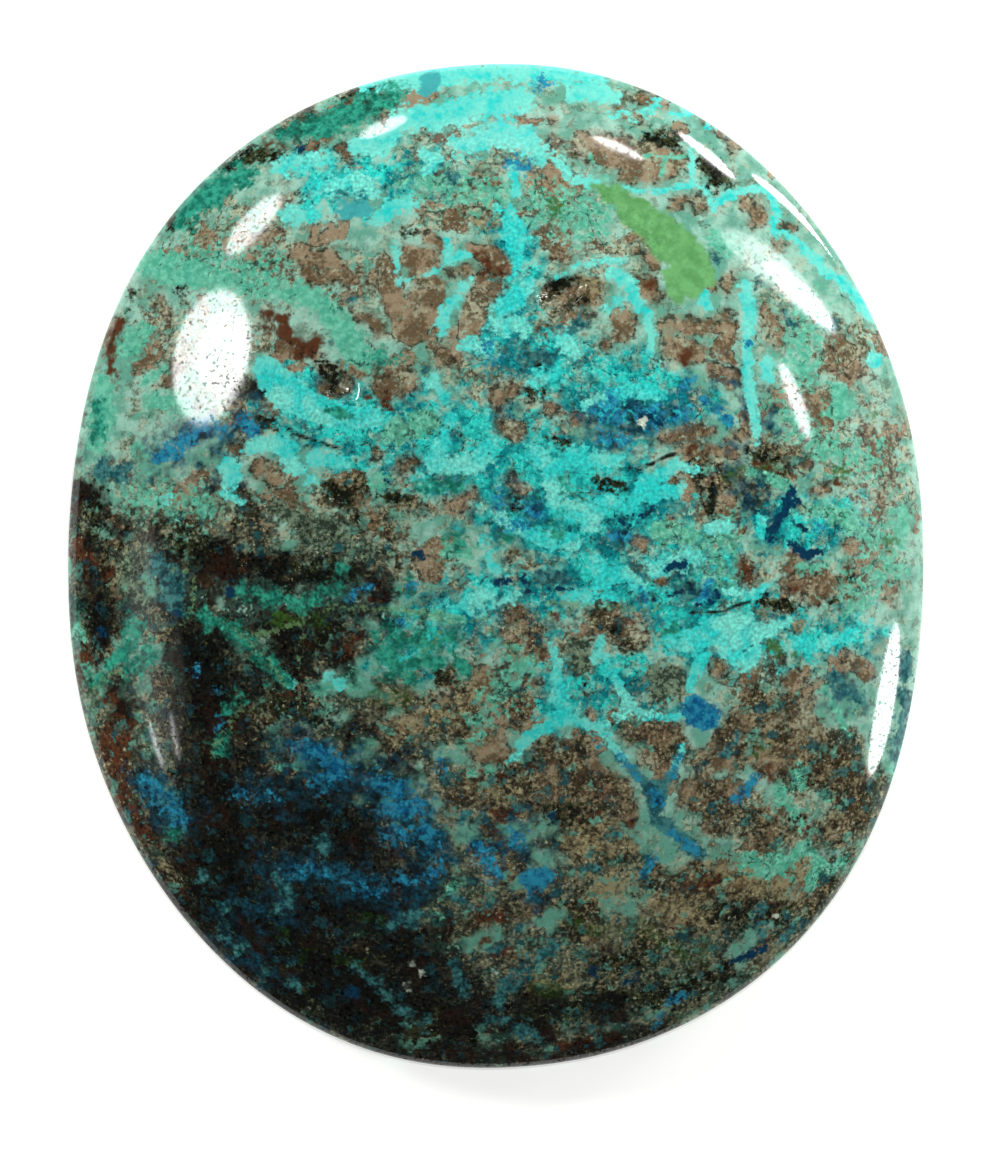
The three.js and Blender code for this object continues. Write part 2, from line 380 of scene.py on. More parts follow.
BROWN = (
    (RAGGED, (
        ((0.6, 10.9, 0.12), (1.6, 11.3, 0.2)),
        ((-0.2, 11.1, 0.24), (0.4, 11.4, 0.2)),
        ((4.4, 14.2, 0.2), (5.0, 13.9, 0.16)),
        ((-10.3, 8.7, 0.2), (-10.1, 8.2, 0.16)),
        ((-9.9, 6.9, 0.2), (-10.1, 6.2, 0.16)),
        ((-7.4, 10.0, 0.25), (-6.8, 9.7, 0.25)),
        ((11.9, 3.9, 0.2), (12.2, 3.0, 0.24), (12.6, 2.4, 0.16)),
        ((9.0, 3.2, 0.22), (9.9, 2.9, 0.2)),
        ((10.3, 3.6, 0.16),),
        ((-8.0, 10.3, 0.25), (-6.6, 10.7, 0.25)),
        ((-6.4, 11.6, 0.25), (-6.0, 11.9, 0.18)),
        ((-5.9, 10.0, 0.4), (-5.1, 9.9, 0.35), (-4.6, 9.5, 0.3)),
        ((-5.6, 9.4, 0.3), (-4.2, 9.2, 0.28)),
        ((-4.4, 13.4, 0.14), (-4.2, 13.0, 0.14)),
        ((-1.1, 9.25, 0.14), (-0.4, 9.3, 0.18)),
        ((0.4, 8.8, 0.25), (0.1, 8.4, 0.22)),
        ((-1.4, 12.2, 0.18), (-1.1, 12.5, 0.14)),
        ((-0.2, 12.4, 0.14), (0.4, 12.1, 0.22)),
        ((-1.7, 10.5, 0.2), (-1.4, 10.2, 0.14)),
        ((4.9, 14.7, 0.25), (5.8, 14.5, 0.22)),
        ((7.0, 14.0, 0.15), (7.7, 13.4, 0.15), (8.1, 12.9, 0.12)),
        ((3.3, 13.2, 0.45), (4.6, 12.8, 0.65), (5.8, 12.5, 0.55), (6.4, 12.5, 0.3)),
        ((4.6, 12.3, 0.35), (5.6, 12.1, 0.22)),
        ((6.1, 11.3, 0.25), (6.8, 11.3, 0.25), (6.9, 11.0, 0.18)),
        ((8.3, 11.1, 0.28), (8.7, 10.7, 0.32)),
        ((9.4, 10.5, 0.14), (9.8, 10.4, 0.1)),
        ((2.2, 9.7, 0.16), (2.8, 9.6, 0.14)),
        ((2.1, 8.4, 0.4), (2.9, 8.5, 0.45), (3.4, 8.5, 0.35)),
        ((-5.1, 5.7, 0.35), (-4.6, 5.9, 0.35)),
        ((4.8, 9.8, 0.14), (5.3, 9.35, 0.22)),
        ((5.1, 8.8, 0.32), (5.3, 8.3, 0.22)),
        ((7.7, 8.9, 0.22), (7.5, 8.4, 0.18)),
        ((2.3, 7.9, 0.22), (3.2, 7.7, 0.22)),
        ((4.3, 7.6, 0.32), (4.2, 7.2, 0.32)),
        ((5.6, 7.4, 0.25), (6.4, 7.3, 0.35), (7.2, 7.2, 0.28)),
        ((5.9, 6.6, 0.45), (6.6, 6.5, 0.42)),
        ((7.5, 7.6, 0.28), (7.7, 7.2, 0.18)),
        ((8.8, 7.7, 0.22), (9.1, 7.3, 0.32), (9.2, 6.8, 0.22)),
        ((11.0, 6.8, 0.32), (11.4, 6.3, 0.42), (11.6, 5.7, 0.32)),
        ((8.0, 3.8, 0.22), (7.5, 3.7, 0.14)),
        ((5.4, 3.8, 0.22), (6.3, 4.0, 0.28), (7.0, 4.0, 0.18)),
        ((6.9, 3.4, 0.25), (7.6, 3.3, 0.22)),
        ((0.3, 5.3, 0.28), (0.8, 5.6, 0.22)),
        ((0.3, 4.4, 0.22), (0.8, 4.2, 0.36)),
        ((-1.5, 6.6, 0.28), (-1.2, 6.4, 0.22)),
        ((-3.4, 6.0, 0.28), (-2.9, 6.3, 0.32), (-2.5, 6.0, 0.28)),
        ((-5.4, 6.8, 0.18), (-5.0, 6.3, 0.22)),
        ((-4.2, 8.2, 0.2), (-3.7, 7.95, 0.22), (-3.4, 7.5, 0.22)),
        ((-7.3, 3.3, 0.32), (-6.8, 3.0, 0.32)),
        ((-2.7, 3.2, 0.3), (-2.5, 3.4, 0.18)),
        ((-1.3, 1.9, 0.32), (-0.7, 2.2, 0.22)),
        ((0.7, 2.7, 0.28), (0.9, 2.3, 0.22)),
        ((10.6, 2.0, 0.18), (10.1, 2.0, 0.1)),
        ((12.4, 2.2, 0.22), (12.2, 1.6, 0.18)),
        ((11.2, 0.2, 0.28), (11.8, 0.4, 0.18)),
        ((9.3, -0.9, 0.34), (10.4, -0.9, 0.4), (10.0, -1.4, 0.24)),
        ((11.2, -0.7, 0.34), (11.5, -1.0, 0.28)),
        ((12.4, -1.2, 0.28), (12.4, -1.6, 0.18)),
        ((7.8, -0.2, 0.26), (8.0, -0.7, 0.26)),
        ((8.0, -4.5, 0.4), (7.6, -5.3, 0.5), (7.0, -6.2, 0.6), (6.3, -6.5, 0.4)),
        ((9.3, -4.0, 0.4), (9.5, -4.6, 0.45), (8.7, -5.3, 0.7), (9.6, -5.6, 0.6), (10.2, -6.4, 0.6)),
        ((10.2, -6.4, 0.6), (11.0, -7.0, 0.5), (11.2, -8.2, 0.4)),
        ((8.3, -6.4, 0.5), (9.2, -6.2, 0.5)),
        ((4.3, -5.4, 0.42), (5.3, -5.5, 0.38), (4.7, -6.2, 0.42)),
        ((2.3, -5.6, 0.22), (2.7, -5.6, 0.14)),
        ((0.8, -6.5, 0.4), (1.6, -6.6, 0.7), (2.7, -6.7, 0.7), (3.3, -7.2, 0.5), (2.0, -7.4, 0.7)),
        ((2.0, -7.4, 0.7), (0.6, -7.0, 0.4)),
        ((3.7, -7.4, 0.5), (3.9, -7.9, 0.4)),
        ((5.9, -7.4, 0.5), (6.6, -7.3, 0.4)),
        ((0.5, -4.5, 0.36),),
        ((3.5, -1.5, 0.36), (3.8, -2.2, 0.36), (4.5, -2.4, 0.32)),
        ((0.5, -1.5, 0.36), (0.5, -2.2, 0.4), (1.2, -2.6, 0.28)),
        ((-0.5, -3.6, 0.5), (-1.0, -4.3, 0.5), (-2.6, -4.9, 0.5), (-3.6, -5.2, 0.4)),
        ((0.2, -4.2, 0.36), (-0.4, -5.9, 0.5), (-1.4, -5.0, 0.36)),
        ((-0.5, -7.0, 0.5), (-1.6, -7.2, 0.4)),
        ((2.2, -8.6, 0.55), (3.2, -8.8, 0.55), (2.6, -9.2, 0.45), (3.8, -9.1, 0.28)),
        ((5.9, -10.0, 0.42), (5.1, -10.5, 0.38), (6.9, -10.5, 0.38), (7.4, -10.9, 0.32)),
        ((5.2, -11.4, 0.38), (6.2, -11.4, 0.38)),
        ((8.2, -8.5, 0.42), (8.6, -9.0, 0.28)),
        ((8.8, -10.3, 0.32), (8.4, -10.4, 0.28)),
        ((10.4, -8.8, 0.42), (10.9, -8.2, 0.38)),
        ((9.7, -10.8, 0.22), (10.3, -10.4, 0.18)),
        ((-1.4, -11.4, 0.22), (-0.9, -11.2, 0.22)),
        ((-0.6, -8.3, 0.18), (0.2, -9.2, 0.28), (-0.1, -9.9, 0.22)),
        *spots(0.18, ((10.9, 5.9), (-1.8, 13.7), (9.3, 9.8), (0.6, 0.4), (-2.9, -2.1))),
        *spots(0.2, (
            (9.0, -3.3), (6.6, 1.4), (5.6, 1.2), (-5.3, 10.8), (-0.5, 11.9), (-2.0, 1.9), (5.7, 2.5),
            (2.8, -4.8),
        )),
        *spots(0.28, ((2.2, 13.3), (6.9, -3.5), (1.0, -3.8), (5.2, -0.7), (6.4, -8.4))),
        *spots(0.14, ((2.3, 14.1), (9.9, 7.3), (8.9, 5.2), (9.7, 1.5))),
        *spots(0.25, ((3.7, 6.8), (-3.9, -5.1))),
        *spots(0.26, ((1.9, 4.9), (4.5, 0.5), (0.3, -3.4))),
        *spots(0.22, ((2.7, 4.5), (-3.6, 3.6), (7.8, -8.2))),
        *spots(0.32, ((-3.1, 5.5), (1.4, -5.7))),
    )),
    (CLEAN, (
        ((-2.3, 9.8, 0.4), (-1.8, 9.75, 0.4), (-2.0, 9.3, 0.4)),
        ((-1.75, 8.8, 0.5), (-2.0, 8.3, 0.6), (-2.25, 7.75, 0.56), (-2.65, 7.75, 0.38)),
        ((-0.2, 8.6, 0.3), (-0.4, 8.0, 0.45), (-0.6, 7.4, 0.36)),
        ((-0.4, 10.0, 0.24), (0.1, 9.8, 0.36), (0.5, 9.4, 0.38)),
        ((-3.2, 9.75, 0.24), (-3.0, 9.2, 0.4), (-2.9, 8.5, 0.4), (-2.4, 7.6, 0.6)),
        ((-3.3, 5.7, 0.4), (-2.7, 5.9, 0.4)),
        ((4.2, 7.6, 0.36), (4.3, 7.2, 0.36)),
        ((5.1, 8.6, 0.36),),
        ((7.0, 2.4, 0.34), (7.3, 1.8, 0.4)),
        ((7.1, 5.9, 0.26), (7.6, 5.7, 0.28), (7.6, 5.4, 0.2)),
        ((11.0, -3.3, 0.3), (11.6, -3.8, 0.3)),
    )),
)
GREY = (
    (RAGGED, (
        ((-5.9, 0.9, 0.3), (-4.7, 0.7, 0.35), (-3.8, 0.5, 0.3)),
        ((-6.8, 2.0, 0.3), (-5.7, 1.5, 0.4), (-4.6, 1.3, 0.4)),
        ((-9.2, 2.2, 0.4), (-8.2, 2.4, 0.4)),
        ((-11.6, 0.4, 0.4), (-11.3, -0.9, 0.3)),
        ((5.0, -3.6, 0.42), (5.6, -3.8, 0.42), (5.0, -4.2, 0.36)),
        ((2.6, -3.2, 0.4), (2.5, -2.7, 0.36)),
        # A painted sheen near the left rim.
        ((-11.3, 2.0, 0.45),),
        ((7.3, 12.3, 0.3), (7.7, 12.0, 0.25)),
        ((-8.0, 6.2, 0.4), (-7.2, 5.9, 0.3)),
        *spots(0.3, ((8.5, -1.6), (5.6, 13.3), (-9.6, 5.4))),
    )),
)
RUST = (
    (RAGGED, (
        ((-12.3, -3.7, 0.25), (-11.8, -4.6, 0.25), (-11.9, -5.2, 0.2)),
        ((-6.9, 7.9, 0.2), (-6.2, 7.4, 0.28), (-5.6, 7.1, 0.3)),
        ((-1.2, -6.6, 0.1), (-0.2, -6.5, 0.12), (0.3, -6.6, 0.1)),
        ((2.2, -8.0, 0.2), (3.0, -7.9, 0.16)),
        ((-0.5, -8.0, 0.1), (-0.2, -8.6, 0.12)),
        ((5.6, -10.2, 0.16), (6.6, -10.2, 0.14)),
        ((-1.0, -10.9, 0.16), (0.2, -11.2, 0.14)),
        ((8.3, 2.95, 0.16), (8.8, 2.8, 0.12)),
        ((11.5, 1.6, 0.1),),
        ((-6.3, 7.5, 0.24),),
        ((-6.8, 8.1, 0.24), (-6.5, 8.0, 0.14)),
        ((-5.9, 7.0, 0.24), (-5.5, 7.2, 0.28)),
        ((0.1, 9.5, 0.14), (0.5, 9.3, 0.14)),
        ((-11.6, 8.2, 0.14), (-11.9, 7.4, 0.18), (-12.0, 6.6, 0.14)),
        ((-12.9, 5.5, 0.12), (-13.1, 5.0, 0.1)),
        ((-13.1, 2.9, 0.28), (-13.2, 2.3, 0.18)),
        ((-13.2, 1.2, 0.28), (-12.9, 0.6, 0.36), (-12.9, 0.1, 0.22)),
        ((-13.1, -2.3, 0.22), (-13.3, -3.2, 0.14)),
        ((-12.5, -4.8, 0.28), (-12.3, -5.4, 0.45), (-12.0, -6.2, 0.38), (-12.1, -7.0, 0.28)),
        ((-12.1, -7.0, 0.28), (-11.6, -7.7, 0.36), (-11.3, -8.3, 0.28)),
        ((-3.9, -0.9, 0.24), (-3.6, -0.8, 0.14)),
        ((-5.1, -2.6, 0.18), (-4.7, -2.4, 0.28), (-4.4, -2.0, 0.18)),
        ((-3.5, -9.0, 0.24), (-3.2, -9.2, 0.24)),
        ((-0.2, -7.9, 0.16), (0.4, -7.7, 0.16)),
        ((6.2, 6.4, 0.25),),
        ((-10.3, -10.1, 0.22), (-9.5, -11.0, 0.25), (-8.7, -11.9, 0.25)),
        ((-6.6, 13.6, 0.18), (-6.2, 13.5, 0.14)),
        ((-9.0, 0.3, 0.18), (-6.9, 0.3, 0.22)),
        ((-6.7, -3.8, 0.25), (-7.2, -4.6, 0.22)),
        ((-0.6, -12.3, 0.18), (0.2, -12.2, 0.14)),
        ((1.5, -15.3, 0.18), (2.5, -15.2, 0.18), (3.4, -15.0, 0.18)),
        ((8.4, -11.2, 0.3),),
        *spots(0.12, ((3.9, -8.4), (9.4, -1.1))),
        *spots(0.14, ((10.8, 2.2), (-3.9, 5.5), (6.4, 3.6))),
        *spots(0.18, ((-3.2, 5.3), (-12.2, 0.2), (5.2, 8.7))),
        *spots(0.16, ((-0.1, 9.95), (-5.3, 13.6), (1.8, -1.7))),
        *spots(0.22, ((-8.2, -4.8), (-0.8, -11.8))),
        *spots(0.2, ((8.5, -6.9), (7.8, -0.5))),
    )),
)
SEAFOAM = (
    (RAGGED, (
        ((7.4, -9.6, 0.2), (8.2, -9.9, 0.3), (8.8, -9.8, 0.2)),
        ((6.9, -10.3, 0.12),),
        ((-3.4, -1.3, 0.1), (-2.2, -1.45, 0.14), (-1.1, -1.6, 0.1)),
        ((-11.0, 10.1, 0.35), (-10.0, 9.8, 0.55), (-8.9, 9.5, 0.45), (-7.0, 8.95, 0.28), (-5.8, 8.8, 0.36)),
        ((-5.8, 8.8, 0.36), (-5.1, 8.4, 0.34), (-4.5, 7.6, 0.42), (-4.2, 6.9, 0.45), (-3.8, 6.5, 0.28)),
        ((-12.2, 6.3, 0.28), (-12.2, 5.2, 0.42), (-12.5, 4.3, 0.32)),
        ((-11.4, 7.3, 0.36), (-10.9, 7.8, 0.28)),
        ((-10.9, 6.2, 0.14), (-10.2, 6.7, 0.14)),
        ((-10.6, 5.6, 0.32), (-9.6, 5.4, 0.32)),
        ((-3.0, 4.3, 0.45), (-2.0, 4.6, 0.45)),
        ((-3.6, 2.8, 0.28),),
        ((7.3, 10.2, 0.28), (7.8, 9.8, 0.32)),
        ((10.2, 1.4, 0.28), (11.0, 1.2, 0.32), (11.8, 0.6, 0.32)),
        ((12.9, 1.2, 0.28), (12.8, 0.4, 0.28)),
        ((5.2, 0.9, 0.32), (6.2, 0.7, 0.32)),
        ((9.4, -6.9, 0.24), (9.3, -7.3, 0.18)),
        ((8.6, -7.4, 0.18), (9.0, -7.9, 0.14), (9.3, -8.5, 0.1)),
        ((11.6, -1.6, 0.28), (11.1, -1.8, 0.14)),
        ((9.6, -0.4, 0.12), (10.3, -0.4, 0.14)),
        ((-13.3, -0.6, 0.14), (-13.3, -1.8, 0.16)),
        ((-13.1, -2.8, 0.14), (-12.7, -3.2, 0.18)),
        ((-5.6, -3.7, 0.32), (-5.9, -3.6, 0.18)),
        ((-4.6, -3.4, 0.26),),
        ((-1.6, -10.0, 0.14), (-2.0, -10.2, 0.14)),
        ((-0.9, -4.9, 0.18), (-0.6, -4.8, 0.14)),
        ((-1.3, -5.6, 0.1), (-0.6, -5.3, 0.12)),
        ((12.4, -7.2, 0.18), (12.7, -6.3, 0.18)),
        ((-1.5, 0.5, 0.25), (-0.8, 0.4, 0.2)),
        *spots(0.22, ((-11.1, 4.1), (12.8, -0.5))),
        *spots(0.18, ((12.3, 3.4), (13.0, 2.6), (10.1, -7.6), (-2.2, -11.1), (-0.9, -6.5))),
        *spots(0.14, ((-5.4, -4.3), (-0.4, -6.4))),
    )),
    (CLEAN, (
        ((7.5, -9.4, 0.14), (8.0, -9.6, 0.16)),
        ((9.0, -10.2, 0.12), (8.6, -10.0, 0.12)),
        ((11.0, 5.1, 0.28), (11.2, 4.7, 0.36), (10.8, 4.4, 0.22)),
        ((8.1, 2.7, 0.14), (8.8, 2.4, 0.18), (9.3, 2.2, 0.16)),
        ((8.3, -9.5, 0.14), (8.9, -9.6, 0.18), (9.5, -9.2, 0.18)),
        ((9.7, -9.4, 0.2), (9.9, -9.8, 0.2), (9.6, -10.4, 0.22)),
        ((10.1, -10.1, 0.16), (10.7, -9.7, 0.14)),
        ((3.4, 13.0, 0.05), (3.6, 12.5, 0.06), (4.0, 12.0, 0.05)),
        ((5.9, 12.7, 0.05), (5.6, 12.1, 0.06)),
        ((5.2, 12.8, 0.05), (6.2, 12.7, 0.06), (6.9, 12.9, 0.05)),
        ((10.2, -4.2, 0.1), (10.6, -5.0, 0.12), (11.0, -5.8, 0.08)),
        ((-7.2, -6.1, 0.04), (-6.1, -6.1, 0.05)),
    )),
    (FLECKED, (
        ((11.4, -1.2, 0.3), (12.4, -0.6, 0.3), (12.2, 0.6, 0.3)),
        ((-0.2, -4.2, 0.3), (0.6, -3.2, 0.3)),
        ((9.3, 4.6, 0.3), (10.4, 3.4, 0.4), (12.0, 2.8, 0.3)),
        ((6.2, 0.2, 0.4), (7.3, 0.7, 0.3), (7.0, -0.4, 0.3)),
        ((1.8, 11.3, 0.5), (3.4, 10.9, 0.5)),
        ((-9.0, 10.0, 0.5), (-7.0, 9.6, 0.5)),
        ((9.8, 5.9, 0.5), (10.2, 8.0, 0.3)),
        ((-11.0, 2.6, 0.3), (-9.2, 2.2, 0.3)),
        ((-2.0, 12.2, 0.4), (0.5, 11.6, 0.4)),
    )),
)
STEEL = (
    (CLEAN, (
        ((3.4, -5.7, 0.1), (3.9, -6.4, 0.13), (4.4, -7.0, 0.16), (4.7, -7.3, 0.28)),
        ((5.7, -5.9, 0.1), (5.4, -6.6, 0.12), (5.0, -7.2, 0.2)),
        ((4.8, -7.4, 0.3), (4.7, -8.0, 0.26), (5.2, -8.5, 0.22), (5.7, -9.0, 0.24), (6.2, -9.3, 0.16)),
        ((4.5, -9.3, 0.12), (4.3, -9.9, 0.12)),
    )),
    (RAGGED, (
        ((0.6, -7.6, 0.12),),
        ((6.9, -6.2, 0.14), (7.5, -5.6, 0.12)),
        ((-10.4, 0.2, 0.3), (-10.3, -0.5, 0.36)),
        ((-11.5, -6.3, 0.2), (-10.6, -7.0, 0.3), (-10.3, -7.9, 0.24)),
        ((-12.4, 3.5, 0.24), (-11.6, 3.4, 0.24)),
        ((-10.7, 0.4, 0.28), (-10.2, -0.2, 0.32), (-10.1, -0.9, 0.28)),
        ((2.4, 7.3, 0.18), (3.1, 7.6, 0.18)),
        ((1.5, -0.4, 0.24), (2.1, -0.4, 0.18)),
        ((10.5, -3.9, 0.18), (11.0, -4.4, 0.28), (11.3, -4.7, 0.18)),
        ((12.8, -3.4, 0.22), (12.8, -5.0, 0.22), (12.4, -6.6, 0.18)),
        ((-5.8, -8.6, 0.32),),
        ((-7.4, -9.3, 0.14), (-7.1, -9.9, 0.18), (-6.9, -10.2, 0.14)),
        ((-9.0, -11.4, 0.22), (-8.5, -11.7, 0.18)),
        ((1.2, 6.6, 0.2), (1.8, 6.4, 0.24)),
        ((-1.2, 11.8, 0.14), (-0.9, 12.3, 0.16)),
        ((-2.7, -10.8, 0.14), (-3.3, -11.1, 0.16), (-4.0, -11.4, 0.12)),
        ((-1.8, -10.5, 0.07), (-0.7, -10.7, 0.08)),
        ((-4.9, -12.5, 0.1), (-4.3, -13.0, 0.14), (-3.7, -13.6, 0.14)),
        ((-3.7, -13.6, 0.14), (-3.3, -14.2, 0.14), (-2.8, -14.4, 0.14)),
        ((0.4, -11.4, 0.11), (0.0, -11.9, 0.11), (-0.7, -12.2, 0.08)),
        ((1.4, -12.0, 0.14), (0.9, -12.5, 0.16), (0.3, -12.9, 0.14)),
        ((0.3, -12.9, 0.14), (-0.2, -13.4, 0.14), (-0.5, -13.9, 0.11)),
        ((-1.9, -12.3, 0.1), (-1.6, -13.0, 0.14), (-1.5, -13.5, 0.11)),
        ((-0.9, -14.3, 0.1), (-0.2, -14.4, 0.11), (0.3, -14.7, 0.12), (0.8, -15.0, 0.1)),
        ((9.1, -11.7, 0.11), (8.6, -12.1, 0.11)),
        ((2.5, -9.6, 0.06), (3.0, -9.7, 0.06)),
        ((3.2, -8.6, 0.08), (3.6, -8.6, 0.07)),
        ((8.05, -11.0, 0.07), (7.9, -11.6, 0.08), (8.1, -12.0, 0.06)),
        *spots(0.16, ((-0.5, -6.9), (-9.0, -10.4))),
        *spots(0.2, ((-1.3, -7.9), (7.3, 9.4), (8.5, 8.6))),
        *spots(0.22, ((9.6, 7.4), (10.8, 7.2))),
        *spots(0.14, ((-9.6, -9.5), (-7.4, -10.7), (-4.2, 8.5), (-2.0, 6.2))),
        *spots(0.18, ((-7.7, -12.5), (-6.8, -13.0))),
    )),
)
